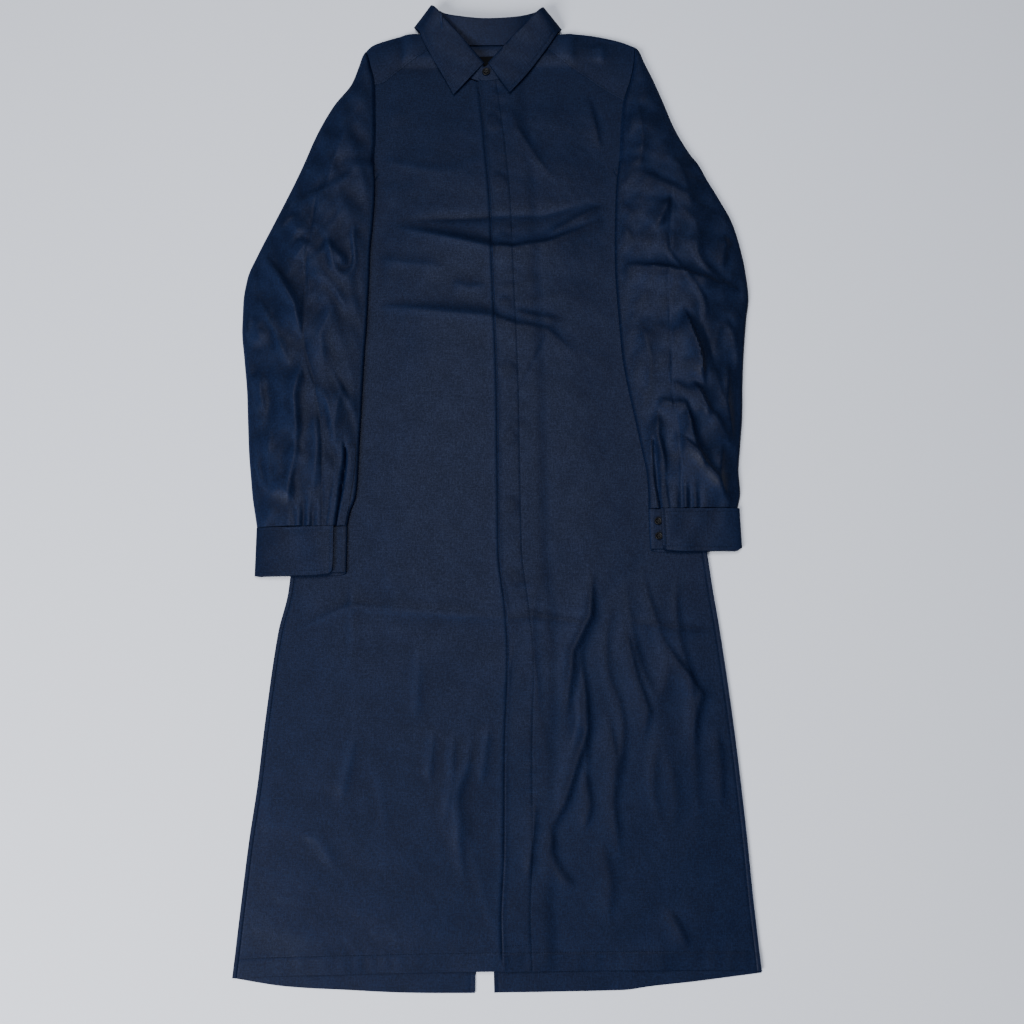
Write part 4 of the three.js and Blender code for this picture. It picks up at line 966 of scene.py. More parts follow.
def sleeve_piece(side):
    """One sleeve as a tube, open to the armhole above the underarm."""
    sign = SIDES[side]
    count = int((SLEEVE_TIP - SLEEVE_END[side]) / SLEEVE_STEP)
    heights = np.linspace(SLEEVE_TIP, SLEEVE_END[side], count)
    slot = heights > SLOT_BOTTOM
    open_share = ramp(heights, SLOT_BOTTOM - 6, SLOT_BOTTOM + 6)[:, None]
    inner = (SLEEVE_INNER[side](heights) + ARMHOLE_TUCK * ramp(heights, SLOT_BOTTOM, 440))[:, None]
    outer = SLEEVE_OUTER[side](heights)[:, None]
    width = outer - inner
    y = heights[:, None]
    upper = (1 - np.cos(np.linspace(0, math.pi, UPPER_POINTS))) / 2
    even = np.linspace(0, 1, UPPER_POINTS)
    upper = blend(upper, even, 0.6 * np.sin(math.pi * even))
    lower = (1 + np.cos(np.linspace(0, math.pi, LOWER_POINTS + 2))) / 2
    radius = np.minimum(FOLD_RADIUS, width * 0.3)

    def base(across):
        return BACK_Z + cover_height(across, y, side)

    def opening(share):
        """Height of the upper layer above the lower one before the creases."""
        from_inner, from_outer = share * width, (1 - share) * width
        round_in = np.sqrt(np.clip(1 - (1 - np.minimum(from_inner / radius, 1)) ** 2, 0, 1))
        round_out = np.sqrt(np.clip(1 - (1 - np.minimum(from_outer / radius, 1)) ** 2, 0, 1))
        tall = np.minimum(FOLD_OPENING, width * 0.35)
        at_slot = blend(FRONT_Z - BACK_Z - TUCK_DROP, tall, ease(from_inner, 0, 6)) * round_out
        closed = tall * np.minimum(round_in, round_out)
        arch = ARCH(y) * np.sin(math.pi * share) ** 0.7
        return blend(closed, at_slot, open_share) + arch

    across = inner + upper[None, :] * width
    x = sign * across
    free = ease(upper[None, :] * width, 2, 16) * ease((1 - upper[None, :]) * width, 2, 14)
    free = free * ease(y, SLEEVE_TIP, 500)
    creases = SLEEVE_CREASE_SHARE * crease_height(SLEEVE_CREASES[side], x, y)
    creases = creases + waves(x, y, 21 + sign, SLEEVE_WAVES, 0.8)
    creases = creases + waves(x, y, 31 + sign, SLEEVE_RIPPLES, 0.16)
    small = small_creases(x + 0.25 * y, y, 71 + sign, **SLEEVE_SMALL_CREASES)
    creases = creases + small * ease(y, 420, 250)
    from_seam = across - SLEEVE_SEAM[side](y)
    creases = creases + groove(from_seam, 0.9, 1.6) * ease(y, UNDERARM_Y, 330)
    near_cuff = ease(y, SLEEVE_END[side] + PLEAT_REACH, SLEEVE_END[side])
    pleats = PLEAT_HEIGHT * near_cuff * np.sin(across / 3.3 + 4 * np.sin(across / 19))
    pleats = pleats * (0.5 + 0.5 * np.sin(across / 9))
    from_opening = across - OPENING_LINE[side](y)
    down_slit = ramp(y, OPENING_TOP, SLEEVE_END[side])
    slit_half = 0.9 + SLIT_HALF[side] * np.sin(math.pi * down_slit ** 0.8) ** 1.5
    in_slit = ease(down_slit, 0, 0.12)
    slit = in_slit * (groove(from_opening, SLIT_DEPTH, slit_half) + ease(np.abs(from_opening - 7), 5, 3.5))
    cuff_fit = blend(1.0, 0.5, near_cuff)
    folds = np.maximum((creases * cuff_fit + pleats + slit) * free, LOWEST_DENT)
    upper_z = base(across) + opening(upper[None, :]) + folds
    low_across = inner + lower[None, 1:-1] * width
    low_free = ease(lower[None, 1:-1] * width, 8, 30) * ease((1 - lower[None, 1:-1]) * width, 8, 30)
    low_free = low_free * ease(y, 300, 240)
    under = crease_height(SLEEVE_UNDER_CREASES[side], sign * low_across, y) * low_free
    lower_z = base(low_across) + under
    tail_z = np.where(slot[:, None], BACK_Z, upper_z[:, :1])
    grid = np.dstack([
        np.concatenate([x, sign * low_across, sign * inner], axis=1),
        np.repeat(y, UPPER_POINTS + LOWER_POINTS + 1, axis=1),
        np.concatenate([upper_z, lower_z, tail_z], axis=1)])
    return cloth_piece(f"sleeve_{side}_cloth", grid, joined=~slot)


sleeves = {side: sleeve_piece(side) for side in SIDES}

# %% [markdown]
# ## Cuffs
# A cuff is a stiff band that wraps the wrist: its under end goes round the inner fold, along the
# bottom, round the outer fold, and comes back over the top to the lap. Two small buttons close it.
# The section across the arm is drawn through a few points and swept from the sleeve to the free edge.

# %% Cuffs with a lapped end
CUFFS = {
    "right": {"top": -93, "bottom": -155, "inner": 188, "outer": 301, "lap": 204, "round": 1.0},
    "left": {"top": -76.5, "bottom": -131, "inner": 190, "outer": 303, "lap": 204.5, "round": 4.0},
}
CUFF_UNDERLAP = 24
UNDERLAP_STEP = 1.6 + SEAM_GAP + 0.3
LAP_TOP_STEP = 6.9
MIDDLE_STEP = 5.4
OUTER_STEP = 3.4
UNDERLAP_RISE = 4
CUFF_TURN = 1.4
CUFF_BASE = 0.8
CUFF_ROW_COUNT = 30
CUFF_STEPS = 5
CUFF_STITCH = 4.5
CUFF_CORNER = 5.5


def cuff_profile(cuff, y, side):
    """Section of a cuff at one height: (across, z, 1 on the underlap) points in order."""

    def base(across):
        return CUFF_BASE + float(cover_height(np.array(float(across)), np.array(float(y)), side))

    inner, outer, lap = cuff["inner"], cuff["outer"], cuff["lap"]
    under_end = inner + CUFF_UNDERLAP
    middle = blend(lap, outer, 0.45)
    under_z = base(inner) + UNDERLAP_STEP
    return [
        (under_end, under_z, 1), (blend(inner, under_end, 0.5), under_z, 1), (inner + CUFF_TURN, under_z, 1),
        (inner, base(inner) + UNDERLAP_STEP / 2, 1), (inner + CUFF_TURN, base(inner), 0.5),
        (blend(inner, outer, 0.25), base(blend(inner, outer, 0.25)), 0),
        (blend(inner, outer, 0.5), base(blend(inner, outer, 0.5)), 0),
        (blend(inner, outer, 0.8), base(blend(inner, outer, 0.8)), 0),
        (outer - CUFF_TURN, base(outer - CUFF_TURN), 0), (outer, base(outer) + OUTER_STEP / 2, 0),
        (outer - CUFF_TURN, base(outer) + OUTER_STEP, 0),
        (blend(middle, outer, 0.6), base(lap) + MIDDLE_STEP - 1, 0), (middle, base(lap) + MIDDLE_STEP, 0),
        (blend(lap, middle, 0.4), base(lap) + LAP_TOP_STEP, 0),
        (lap + CUFF_CORNER, base(lap) + LAP_TOP_STEP, 0), (lap, base(lap) + LAP_TOP_STEP, 0),
    ]


def cuff_piece(side):
    """One cuff, with stitched grooves along its edges."""
    cuff, sign = CUFFS[side], SIDES[side]
    rows = []
    heights = np.linspace(cuff["top"], cuff["bottom"], CUFF_ROW_COUNT)
    for y in heights:
        path = smooth_path(cuff_profile(cuff, y, side), CUFF_STEPS)
        shift = UNDERLAP_RISE * path[:, 2] * ramp(y, cuff["top"] - 8, cuff["bottom"])
        rows.append(np.column_stack([sign * path[:, 0], y + shift, path[:, 1]]))
    grid = np.array(rows)
    on_top = np.arange(grid.shape[1]) > grid.shape[1] * 0.7
    from_ends = np.minimum(heights[0] - grid[..., 1], grid[..., 1] - heights[-1])
    from_lap = np.abs(grid[..., 0]) - cuff["lap"]
    dent = groove(from_ends - CUFF_STITCH, 0.35, 1.4) + groove(from_lap - CUFF_STITCH, 0.35, 1.4)
    soft = waves(grid[..., 0], grid[..., 1], 40 + sign, (47, 36, 29), 0.3)
    grid[..., 2] += np.where(on_top, dent + soft, 0)
    inside = np.clip(CUFF_CORNER - from_lap, 0, CUFF_CORNER)
    cut_back = CUFF_CORNER - np.sqrt(CUFF_CORNER ** 2 - inside ** 2) + 2 * ease(from_lap, 26, 0)
    grid[..., 1] += np.where(on_top, cut_back * ramp(grid[..., 1], heights[-1] + 16, heights[-1]), 0)
    from_outer = cuff["outer"] - np.abs(grid[..., 0])
    near_edge = ramp(grid[..., 1], heights[-1] + 16, heights[-1])
    grid[..., 1] += cuff["round"] * ease(from_outer, 6, 0) * near_edge
    return cloth_piece(f"cuff_{side}_cloth", grid, STIFF_WALL, flat=surface_map(grid))


cuffs = {side: cuff_piece(side) for side in SIDES}

# %% [markdown]
# ## Sleeve opening strips
# The edge of the slit above each cuff is bound with a narrow folded strip, stitched along both sides.
# It follows the sleeve, so its points are found by looking straight down on the finished sleeve.

# %% A way to find the cloth's surface from above


def surface_below(pieces):
    """A function that gives the height in millimetres of the pieces under a point, or None."""
    trees = []
    for piece in pieces:
        mesh = piece.data
        points = [vertex.co / MM for vertex in mesh.vertices]
        trees.append(BVHTree.FromPolygons(points, [tuple(face.vertices) for face in mesh.polygons]))

    def height_at(x, y):
        hits = [tree.ray_cast(Vector((x, y, 100)), Vector((0, 0, -1)))[0] for tree in trees]
        heights = [hit.z for hit in hits if hit is not None]
        return max(heights) if heights else None

    return height_at


STRIP_WIDTH = 8.5
STRIP_START = 3.8
STRIP_ROWS = 34
STRIP_COLUMNS = 7


def strip_piece(side):
    """The bound strip beside a sleeve's opening."""
    height_at = surface_below([sleeves[side]])
    sign = SIDES[side]
    rows = []
    for y in np.linspace(OPENING_TOP - 6, SLEEVE_END[side] + 0.6, STRIP_ROWS):
        end = float(OPENING_LINE[side](y)) - STRIP_START
        start = max(end - STRIP_WIDTH, float(SLEEVE_INNER[side](y)) + FOLD_RADIUS)
        row = []
        for share in np.linspace(0, 1, STRIP_COLUMNS):
            across = blend(start, end, share)
            crown = 0.15 * math.sin(math.pi * share)
            row.append((sign * across, y, height_at(sign * across, y) + CLOTH_WALL / 2 + 0.1 + crown))
        rows.append(row)
    return cloth_piece(f"sleeve_strip_{side}_cloth", np.array(rows))


strips = {side: strip_piece(side) for side in SIDES}

# %% [markdown]
# ## Buttons
# The buttons are turned discs with a raised rim, a shallow dish and four holes; the thread sewn through them
# is not drawn. A disc grid with its heights lowered at the holes keeps the mesh closed and small.

# %% Buttons
BUTTON_HEIGHT = 2.2
BUTTON_RINGS = 22
BUTTON_SECTORS = 48
BUTTON_SHARP_ANGLE = math.radians(60)
BUTTON_FOOT = 0.85
HOLE_DEPTH = 0.6
NECK_BUTTON_SIZE = 10.6
CUFF_BUTTON_SIZE = 9.6
HOLE_RADIUS = 0.11
HOLE_PLACE = 0.24
BUTTON_PROFILE = curve_through([
    (0, 0.72), (0.45, 0.72), (0.6, 0.76), (0.72, 0.95), (0.8, 1.0), (0.9, 0.96), (0.97, 0.8), (1, 0.55)])


def button_mesh(name, diameter, centre, tilt):
    """A four-hole button, its underside at the centre given in millimetres."""
    radius = diameter / 2
    rings = np.linspace(0, 1, BUTTON_RINGS + 1)[1:]
    turns = np.linspace(0, 2 * math.pi, BUTTON_SECTORS, endpoint=False)
    r, a = np.meshgrid(rings, turns, indexing="ij")
    x, y = r * np.cos(a), r * np.sin(a)
    z = BUTTON_PROFILE(r)
    for hole_x in (-HOLE_PLACE, HOLE_PLACE):
        for hole_y in (-HOLE_PLACE, HOLE_PLACE):
            from_hole = np.hypot(x - hole_x, y - hole_y)
            z = z - HOLE_DEPTH * ease(from_hole, HOLE_RADIUS * 1.25, HOLE_RADIUS * 0.7)
    top = np.stack([x * radius, y * radius, z * BUTTON_HEIGHT], axis=-1).reshape(-1, 3)
    foot = np.stack([np.cos(turns), np.sin(turns), 0 * turns], axis=-1) * radius * BUTTON_FOOT
    points = np.vstack([top, [[0, 0, BUTTON_PROFILE(0) * BUTTON_HEIGHT]], foot, [[0, 0, 0]]])
    n = BUTTON_SECTORS
    middle, first_foot = len(top), len(top) + 1
    faces = []
    for k in range(n):
        k2 = (k + 1) % n
        faces.append((middle, k, k2))
        for ring in range(BUTTON_RINGS - 1):
            faces.append((ring * n + k, (ring + 1) * n + k, (ring + 1) * n + k2, ring * n + k2))
        edge = (BUTTON_RINGS - 1) * n
        faces.append((edge + k, first_foot + k, first_foot + k2, edge + k2))
        faces.append((first_foot + k, first_foot + n, first_foot + k2))
    turn = np.array(Matrix.Rotation(tilt, 3, "X"))
    mesh = bpy.data.meshes.new(name)
    mesh.from_pydata(((points @ turn.T + np.array(centre)) * MM).tolist(), [], faces)
    mesh.polygons.foreach_set("use_smooth", np.ones(len(faces), bool))
    mesh.set_sharp_from_angle(angle=BUTTON_SHARP_ANGLE)
    return add_object(name, mesh)


def button_place(node):
    """Centre of the underside of a button's solid, in millimetres."""
    low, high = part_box(node)
    return [(low[0] + high[0]) / 2 / MM, (low[1] + high[1]) / 2 / MM, low[2] / MM]


NECK_TILT = 0.14
neck_place = button_place("neck_button")
buttons = {"neck_button": button_mesh("neck_button_disc", NECK_BUTTON_SIZE, neck_place, NECK_TILT)}
for side in SIDES:
    for number in (1, 2):
        node = f"cuff_button_{side}_{number}"
        buttons[node] = button_mesh(f"{node}_disc", CUFF_BUTTON_SIZE, button_place(node), 0.0)
print("buttons:", len(buttons))

# %% [markdown]
# ## Neck label
# A short piece of satin tape is sewn inside the yoke, behind the neck. It stays bare here.

# %% Bare neck label
LABEL_BOX = {"left": -23, "right": 12, "bottom": 553, "top": 573.5}
LABEL_WALL = 0.5


def label_piece():
    """A small tape with a slight crown."""
    x, y = np.meshgrid(np.linspace(LABEL_BOX["left"], LABEL_BOX["right"], 24),
                       np.linspace(LABEL_BOX["bottom"], LABEL_BOX["top"], 14))
    crown = 0.5 * np.sin(math.pi * ramp(x, LABEL_BOX["left"], LABEL_BOX["right"]))
    return cloth_piece("neck_label_tape", np.dstack([x, y, 1.6 + crown]), LABEL_WALL)


label = label_piece()

# %% [markdown]
# ## Cloth material
# The cloth is a plain weave of slubby yarn: threads that swell and thin out along their length, so that
# fine streaks run both ways. A shared node group turns the flat map into a mask of lighter threads and
# a height for the bump. A photograph of cloth could do the same, but a pattern made of noise has no
# edges and fits a piece of any size. The colour also carries painted shade in the creases' troughs and
# painted highlight on their crests.

# %% Node group: slubby plain weave
WARP_GRAIN = (680, 250, 1)
WEFT_GRAIN = (300, 680, 1)
WARP_SLUBS = (620, 70, 1)
WEFT_SLUBS = (70, 620, 1)
MOTTLE_GRAIN = (38, 30, 1)
FINE_SHARE = 0.72
MOTTLE_SHARE = 0.12
THREADS_START = 0.53
THREADS_END = 0.73


def add_socket(group, name, kind, way, value=None):
    """Adds one named socket to a node group."""
    socket = group.interface.new_socket(name=name, in_out=way, socket_type=kind)
    if value is not None:
        socket.default_value = value
    return socket


def stretched_noise(nodes, links, vector, scale, detail, roughness=0.6):
    """Noise whose grain is stretched by a different scale along each direction."""
    mapping = nodes.new("ShaderNodeMapping")
    mapping.inputs["Scale"].default_value = scale
    noise = nodes.new("ShaderNodeTexNoise")
    noise.inputs["Scale"].default_value = 1.0
    noise.inputs["Detail"].default_value = detail
    noise.inputs["Roughness"].default_value = roughness
    links.new(vector, mapping.inputs["Vector"])
    links.new(mapping.outputs["Vector"], noise.inputs["Vector"])
    return noise.outputs["Fac"]


def math_node(nodes, links, operation, first, second):
    """One Math node on two sockets or numbers."""
    node = nodes.new("ShaderNodeMath")
    node.operation = operation
    for socket, value in zip(node.inputs, (first, second)):
        if isinstance(value, bpy.types.NodeSocket):
            links.new(value, socket)
        else:
            socket.default_value = value
    return node.outputs[0]


def weave_group():
    """Group with the masks and the height of slubby plain weave."""
    group = bpy.data.node_groups.new("slub_weave", "ShaderNodeTree")
    add_socket(group, "Flat Place", "NodeSocketVector", "INPUT")
    add_socket(group, "Slub Amount", "NodeSocketFloat", "INPUT", 1.0)
    add_socket(group, "Light Threads", "NodeSocketFloat", "OUTPUT")
    add_socket(group, "Height", "NodeSocketFloat", "OUTPUT")
    nodes, links = group.nodes, group.links
    start = nodes.new("NodeGroupInput")
    end = nodes.new("NodeGroupOutput")
    place = start.outputs["Flat Place"]
    warp = stretched_noise(nodes, links, place, WARP_GRAIN, 3.0, 0.7)
    weft = stretched_noise(nodes, links, place, WEFT_GRAIN, 3.0, 0.7)
    warp_slub = stretched_noise(nodes, links, place, WARP_SLUBS, 2.0)
    weft_slub = stretched_noise(nodes, links, place, WEFT_SLUBS, 2.0)
    mottle = stretched_noise(nodes, links, place, MOTTLE_GRAIN, 3.0)
    fine = math_node(nodes, links, "MAXIMUM", warp, weft)
    slub = math_node(nodes, links, "MAXIMUM", warp_slub, weft_slub)
    slub = math_node(nodes, links, "MULTIPLY", slub, start.outputs["Slub Amount"])
    both = math_node(nodes, links, "ADD", math_node(nodes, links, "MULTIPLY", fine, FINE_SHARE), slub)
    mottle = math_node(nodes, links, "MULTIPLY", mottle, MOTTLE_SHARE)
    with_mottle = math_node(nodes, links, "ADD", both, mottle)
    spread = nodes.new("ShaderNodeMapRange")
    spread.inputs["From Min"].default_value = THREADS_START
    spread.inputs["From Max"].default_value = THREADS_END
    links.new(with_mottle, spread.inputs["Value"])
    links.new(spread.outputs["Result"], end.inputs["Light Threads"])
    links.new(both, end.inputs["Height"])
    return group


weave = weave_group()
print("weave nodes:", len(weave.nodes))

# %% Materials of the coat
CLOTH_DARK = (0.0010, 0.0033, 0.0140, 1.0)
CLOTH_LIGHT = (0.0050, 0.0106, 0.0345, 1.0)
BUTTON_COLOUR = (0.0012, 0.0013, 0.0022, 1.0)
THREAD_COLOUR = (0.0018, 0.0050, 0.0150, 1.0)
LABEL_COLOUR = (0.0008, 0.0012, 0.0024, 1.0)
CLOTH_ROUGHNESS = (0.56, 0.43)
CLOTH_SPECULAR = 0.09
WEAVE_BUMP = 0.00030
# Share of the crest value in the cloth's colour: painted shade in troughs and painted highlight on crests.
CREST_PAINTED_SHADE = 0.22
SLUB_AMOUNT = 0.28


def plain_shader(name, colour, roughness, specular):
    """A new material with one Principled shader set to constant values."""
    material = bpy.data.materials.new(name)
    material.use_nodes = True
    shader = material.node_tree.nodes["Principled BSDF"]
    shader.inputs["Base Color"].default_value = colour
    shader.inputs["Roughness"].default_value = roughness
    shader.inputs["Specular IOR Level"].default_value = specular
    return material


def cloth_material(name, dark, light, slub_amount, bump_height):
    """Woven cloth on the piece's own flat map, with painted shade in troughs and painted highlight on crests.
    """
    material = plain_shader(name, dark, CLOTH_ROUGHNESS[0], CLOTH_SPECULAR)
    shader = material.node_tree.nodes["Principled BSDF"]
    nodes, links = material.node_tree.nodes, material.node_tree.links
    flat = nodes.new("ShaderNodeUVMap")
    flat.uv_map = "flat_map"
    threads = nodes.new("ShaderNodeGroup")
    threads.node_tree = weave
    threads.inputs["Slub Amount"].default_value = slub_amount
    links.new(flat.outputs["UV"], threads.inputs["Flat Place"])
    colour = nodes.new("ShaderNodeMix")
    colour.data_type = "RGBA"
    colour.inputs["A"].default_value = dark
    colour.inputs["B"].default_value = light
    # Painted shade and highlight: the colour leans dark in troughs and light on crests, by how far each point
    # stands out of the cloth around it.
    stands_out = nodes.new("ShaderNodeAttribute")
    stands_out.attribute_name = "crest"
    painted_crest_shade = math_node(nodes, links, "MULTIPLY", stands_out.outputs["Fac"], CREST_PAINTED_SHADE)
    tint = math_node(nodes, links, "ADD", threads.outputs["Light Threads"], painted_crest_shade)
    links.new(tint, colour.inputs["Factor"])
    links.new(colour.outputs["Result"], shader.inputs["Base Color"])
    gloss = nodes.new("ShaderNodeMapRange")
    gloss.inputs["To Min"].default_value, gloss.inputs["To Max"].default_value = CLOTH_ROUGHNESS
    links.new(threads.outputs["Light Threads"], gloss.inputs["Value"])
    links.new(gloss.outputs["Result"], shader.inputs["Roughness"])
    bump = nodes.new("ShaderNodeBump")
    bump.inputs["Strength"].default_value = 1.0
    bump.inputs["Distance"].default_value = bump_height
    links.new(threads.outputs["Height"], bump.inputs["Height"])
    links.new(bump.outputs["Normal"], shader.inputs["Normal"])
    return material


coat_cloth = cloth_material("navy_slub_cloth", CLOTH_DARK, CLOTH_LIGHT, SLUB_AMOUNT, WEAVE_BUMP)
button_gloss = plain_shader("glossy_black_button", BUTTON_COLOUR, roughness=0.42, specular=0.12)
thread_finish = plain_shader("navy_thread", THREAD_COLOUR, roughness=0.7, specular=0.06)
label_satin = plain_shader("black_satin_tape", LABEL_COLOUR, roughness=0.55, specular=0.06)
cloth_pieces = [yoke, fall, stand]
for pair in (fronts, backs, sleeves, cuffs, strips):
    cloth_pieces += pair.values()
for piece in cloth_pieces:
    piece.data.materials.append(coat_cloth)
for piece in buttons.values():
    piece.data.materials.append(button_gloss)
label.data.materials.append(label_satin)
print("materials:", [material.name for material in (coat_cloth, button_gloss, thread_finish, label_satin)])

# %% [markdown]
# ## Stitches
# Rows of stitches hold the hem, the placket, the collar, the cuffs and the yoke. Geometry Nodes walk
# along paths that lie on the cloth and set one small capsule of thread for each stitch.

# %% Paths of the stitches
STITCH_DRAPE_STEP = 4.0
YOKE_STITCH = 2.0
SHOULDER_SEAM_START = {"right": 80, "left": 70}
coat_height = surface_below(cloth_pieces)


def draped(points):
    """A path laid on the cloth from above, a point every few millimetres."""
    points = np.array(points, float)
    lengths = np.concatenate([[0], np.cumsum(np.linalg.norm(np.diff(points, axis=0), axis=1))])
    count = max(2, int(lengths[-1] / STITCH_DRAPE_STEP) + 1)
    at = np.linspace(0, lengths[-1], count)
    x, y = np.interp(at, lengths, points[:, 0]), np.interp(at, lengths, points[:, 1])
    laid = [(px, py, coat_height(px, py)) for px, py in zip(x, y)]
    return [point for point in laid if point[2] is not None]


placket_line = [(float(PLACKET_EDGE(y) + BAND_WIDTH(y)), y) for y in np.linspace(-612, 505, 80)]
stitch_paths = [
    placket_line,
    [(x, float(FRONT_HEM(x)) + HEM_BAND) for x in np.linspace(-300, 2, 60)],
    [(x, float(FRONT_HEM(x)) + HEM_BAND) for x in np.linspace(4, 290, 60)],
    [(float(PLACKET_EDGE(-590)) + 1.5, -590), (float(PLACKET_EDGE(-590) + BAND_WIDTH(-590)), -588)],
]
for side, sign in SIDES.items():
    cuff = CUFFS[side]
    outer, lap = cuff["outer"] - 2, cuff["lap"] + CUFF_STITCH
    top, bottom = cuff["top"] - CUFF_STITCH, cuff["bottom"] + CUFF_STITCH
    corners = [(outer, top), (lap, top), (lap, bottom + 2), (outer, bottom)]
    stitch_paths.append([(sign * x, y) for x, y in corners])
    on_shoulder = [point for point in FRONT_TOP[side] if sign * point[0] > SHOULDER_SEAM_START[side]]
    stitch_paths.append([(x, y + YOKE_STITCH) for x, y in on_shoulder])
    side_table = SIDE_EDGE[side]
    heights = np.linspace(-612, CUFF_BOTTOM[side] - 4, 40)
    stitch_paths.append([(float(side_table(y)) - sign * SEAM_FROM_SIDE, y) for y in heights])


def collar_path():
    """The stitched line round the fall, just inside its outer edge and its two ends."""
    points = []
    for k in range(len(edge_line)):
        section = fall_section(k)
        away = np.linalg.norm(section - edge_line[k], axis=1)
        points.append([np.interp(-COLLAR_STITCH, -away, section[:, axis]) for axis in range(3)])
    return points


collar_stitch = collar_path()
for part in (collar_stitch[:5 * COLLAR_STEPS], collar_stitch[13 * COLLAR_STEPS + 1:]):
    stitch_paths.append([(x, y) for x, y, z in part[2:-2]])
draped_paths = [draped(path) for path in stitch_paths]
print("rows of stitches:", len(draped_paths))

# %% Geometry Nodes: stitches along the paths
STITCH_SIZES = {"Pitch": 3.0, "Stitch Length": 2.1, "Thread Radius": 0.26}
STITCH_LIFT = 0.08


def stitch_tree():
    """Node tree that turns curves into rows of small capsules of thread."""
    tree = bpy.data.node_groups.new("stitch_rows", "GeometryNodeTree")
    add_socket(tree, "Paths", "NodeSocketGeometry", "INPUT")
    names = {}
    for name, value in STITCH_SIZES.items():
        names[name] = add_socket(tree, name, "NodeSocketFloat", "INPUT", value * MM).identifier
    names["Thread"] = add_socket(tree, "Thread", "NodeSocketMaterial", "INPUT").identifier
    add_socket(tree, "Stitches", "NodeSocketGeometry", "OUTPUT")
    nodes, links = tree.nodes, tree.links
    start, end = nodes.new("NodeGroupInput"), nodes.new("NodeGroupOutput")
    resample = nodes.new("GeometryNodeResampleCurve")
    resample.mode = "LENGTH"
    tangent = nodes.new("GeometryNodeInputTangent")
    align = nodes.new("FunctionNodeAlignRotationToVector")
    align.axis = "Z"
    thread = nodes.new("GeometryNodeMeshUVSphere")
    thread.inputs["Segments"].default_value = 6
    thread.inputs["Rings"].default_value = 4
    thread.inputs["Radius"].default_value = 1.0
    half = math_node(nodes, links, "MULTIPLY", start.outputs["Stitch Length"], 0.5)
    size = nodes.new("ShaderNodeCombineXYZ")
    place = nodes.new("GeometryNodeInstanceOnPoints")
    realize = nodes.new("GeometryNodeRealizeInstances")
    paint = nodes.new("GeometryNodeSetMaterial")
    for output, socket in (
            (start.outputs["Paths"], resample.inputs["Curve"]),
            (start.outputs["Pitch"], resample.inputs["Length"]),
            (tangent.outputs["Tangent"], align.inputs["Vector"]),
            (start.outputs["Thread Radius"], size.inputs["X"]),
            (start.outputs["Thread Radius"], size.inputs["Y"]),
            (half, size.inputs["Z"]),
            (resample.outputs["Curve"], place.inputs["Points"]),
            (thread.outputs["Mesh"], place.inputs["Instance"]),
            (align.outputs["Rotation"], place.inputs["Rotation"]),
            (size.outputs["Vector"], place.inputs["Scale"]),
            (place.outputs["Instances"], realize.inputs["Geometry"]),
            (realize.outputs["Geometry"], paint.inputs["Geometry"]),
            (start.outputs["Thread"], paint.inputs["Material"]),
            (paint.outputs["Geometry"], end.inputs["Stitches"])):
        links.new(output, socket)
    return tree, names


def stitches_piece(paths):
    """A plain mesh of every stitch on the coat."""
    curve = bpy.data.curves.new("stitch_paths", "CURVE")
    curve.dimensions = "3D"
    for path in paths:
        spline = curve.splines.new("POLY")
        spline.points.add(len(path) - 1)
        for point, (x, y, z) in zip(spline.points, path):
            point.co = (x * MM, y * MM, (z + STITCH_LIFT) * MM, 1)
    carrier = add_object("stitch_paths", curve)
    tree, names = stitch_tree()
    modifier = carrier.modifiers.new("stitches", "NODES")
    modifier.node_group = tree
    for name, value in STITCH_SIZES.items():
        modifier[names[name]] = value * MM
    modifier[names["Thread"]] = thread_finish
    graph = bpy.context.evaluated_depsgraph_get()
    mesh = bpy.data.meshes.new_from_object(carrier.evaluated_get(graph))
    mesh.name = "stitches"
    carrier.modifiers.remove(modifier)
    bpy.data.objects.remove(carrier)
    print("stitch triangles:", sum(len(face.vertices) - 2 for face in mesh.polygons))
    return add_object("coat_stitches", mesh)


stitches = stitches_piece(draped_paths)

# %% [markdown]
# ## Floor and light
# A plain pale floor and two soft lamps: a large one low on the left, as from a window, which rakes over
# the creases, and a smaller one above. The lamps are area lights because their shadows have soft edges.

# %% Floor and light
FLOOR_COLOUR = (0.60, 0.63, 0.71, 1)
FLOOR_HALF = 3.0
ROOM_COLOUR = (0.62, 0.66, 0.72, 1)
ROOM_STRENGTH = 0.22
floor_mesh = bpy.data.meshes.new("floor")
floor_corners = [(x * FLOOR_HALF, y * FLOOR_HALF, 0.0) for x, y in ((-1, -1), (1, -1), (1, 1), (-1, 1))]
floor_mesh.from_pydata(floor_corners, [], [(0, 1, 2, 3)])
floor = add_object("floor", floor_mesh)
floor_mesh.materials.append(plain_shader("pale_floor", FLOOR_COLOUR, roughness=0.6, specular=0.3))


def soft_light(name, place, target, size, power, colour):
    """A large area light that faces a target."""
    data = bpy.data.lights.new(name, "AREA")
    data.shape = "SQUARE"
    data.size = size
    data.energy = power
    data.color = colour
    light = add_object(name, data)
    light.location = place
    light.rotation_euler = (Vector(target) - Vector(place)).to_track_quat("-Z", "Y").to_euler()


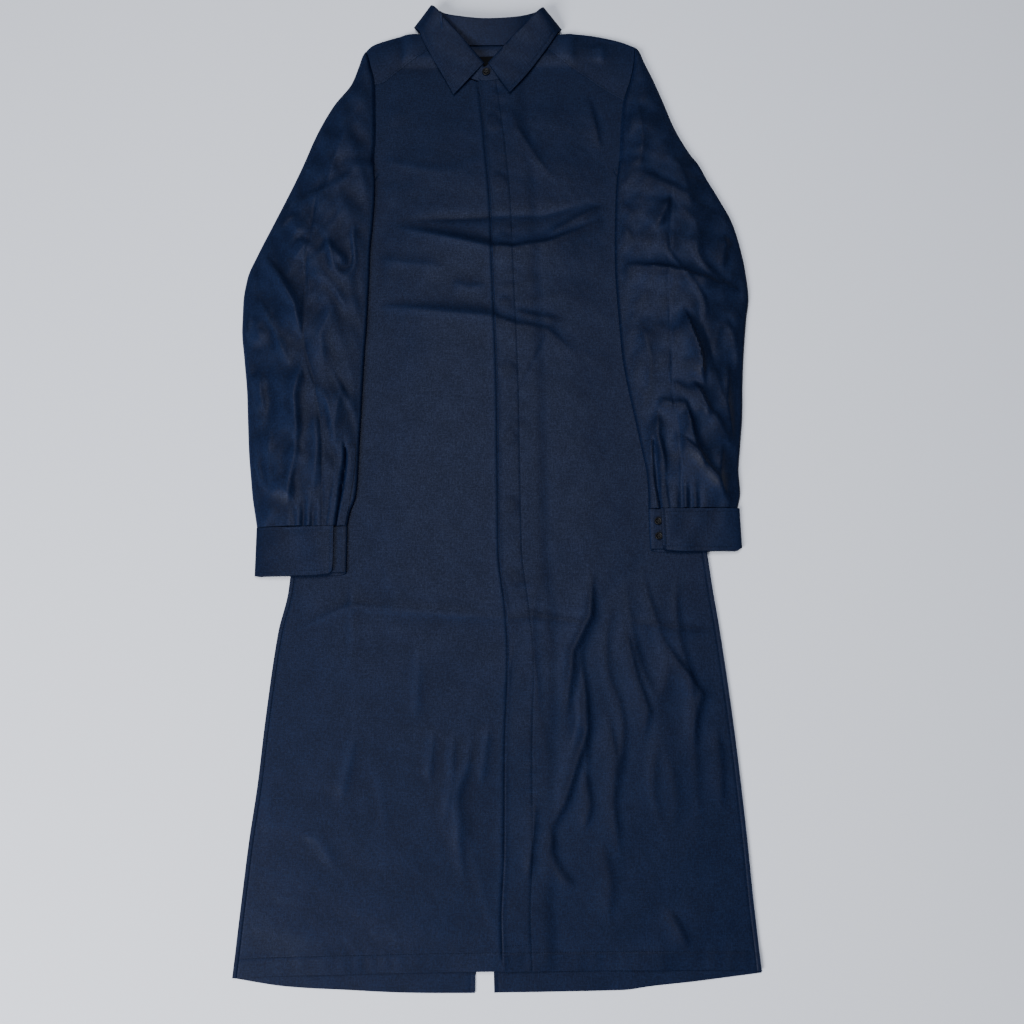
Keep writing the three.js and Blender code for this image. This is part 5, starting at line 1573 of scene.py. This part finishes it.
soft_light("window_light", (-1.75, -2.0, 1.75), (0, -0.1, 0), size=1.5, power=195, colour=(1.0, 0.99, 0.98))
soft_light("ceiling_light", (-0.1, 0.62, 2.3), (0, 0, 0), size=1.1, power=45, colour=(0.97, 0.98, 1.0))
world = bpy.data.worlds.new("soft_room")
world.use_nodes = True
sky = world.node_tree.nodes["Background"]
sky.inputs["Color"].default_value = ROOM_COLOUR
sky.inputs["Strength"].default_value = ROOM_STRENGTH
bpy.context.scene.world = world
print("floor half width in m:", FLOOR_HALF)

# %% [markdown]
# ## Riding and replacing
# Every piece belongs to the one body of the coat, and stands for the plain solid of the same name.
# The cloth pieces are also listed in a table of sheets, each with the size that it was cut to.

# %% Cut sizes of the sheets
Sheet = namedtuple("Sheet", "piece width length area rests_on")
SHEETS = {
    # width and length in metres, and the flat area of the cut in square metres
    "front_right": Sheet(fronts["right"], 0.34, 1.212, 0.325, "back_right_cloth"),
    "front_left": Sheet(fronts["left"], 0.33, 1.21, 0.30, "front_right_cloth"),
    "back_right": Sheet(backs["right"], 0.30, 1.11, 0.275, "floor"),
    "back_left": Sheet(backs["left"], 0.31, 1.11, 0.275, "floor"),
    "yoke": Sheet(yoke, 0.374, 0.216, 0.060, "floor"),
    "collar_fall": Sheet(fall, 0.55, 0.062, 0.022, "collar_stand_cloth"),
    "collar_stand": Sheet(stand, 0.42, 0.042, 0.0130, "front_right_cloth"),
    "sleeve_right": Sheet(sleeves["right"], 0.335, 0.67, 0.160, "front_right_cloth"),
    "sleeve_left": Sheet(sleeves["left"], 0.345, 0.655, 0.155, "front_left_cloth"),
    "cuff_right": Sheet(cuffs["right"], 0.236, 0.062, 0.0140, "front_right_cloth"),
    "cuff_left": Sheet(cuffs["left"], 0.236, 0.055, 0.0122, "front_left_cloth"),
    "sleeve_placket_right": Sheet(strips["right"], 0.0105, 0.105, 0.00098, "sleeve_right_cloth"),
    "sleeve_placket_left": Sheet(strips["left"], 0.0105, 0.088, 0.00066, "sleeve_left_cloth"),
}
print("cloth cut in square metres:", round(sum(row.area for row in SHEETS.values()), 2))

# %% Declare every piece
for node, row in SHEETS.items():
    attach(row.piece, "root")
    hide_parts(node)
for node, piece in buttons.items():
    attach(piece, "root")
    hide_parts(node)
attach(label, "root")
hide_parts("neck_label")
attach(stitches, "root")
print("pieces on the coat:", len(SHEETS) + len(buttons) + 2)
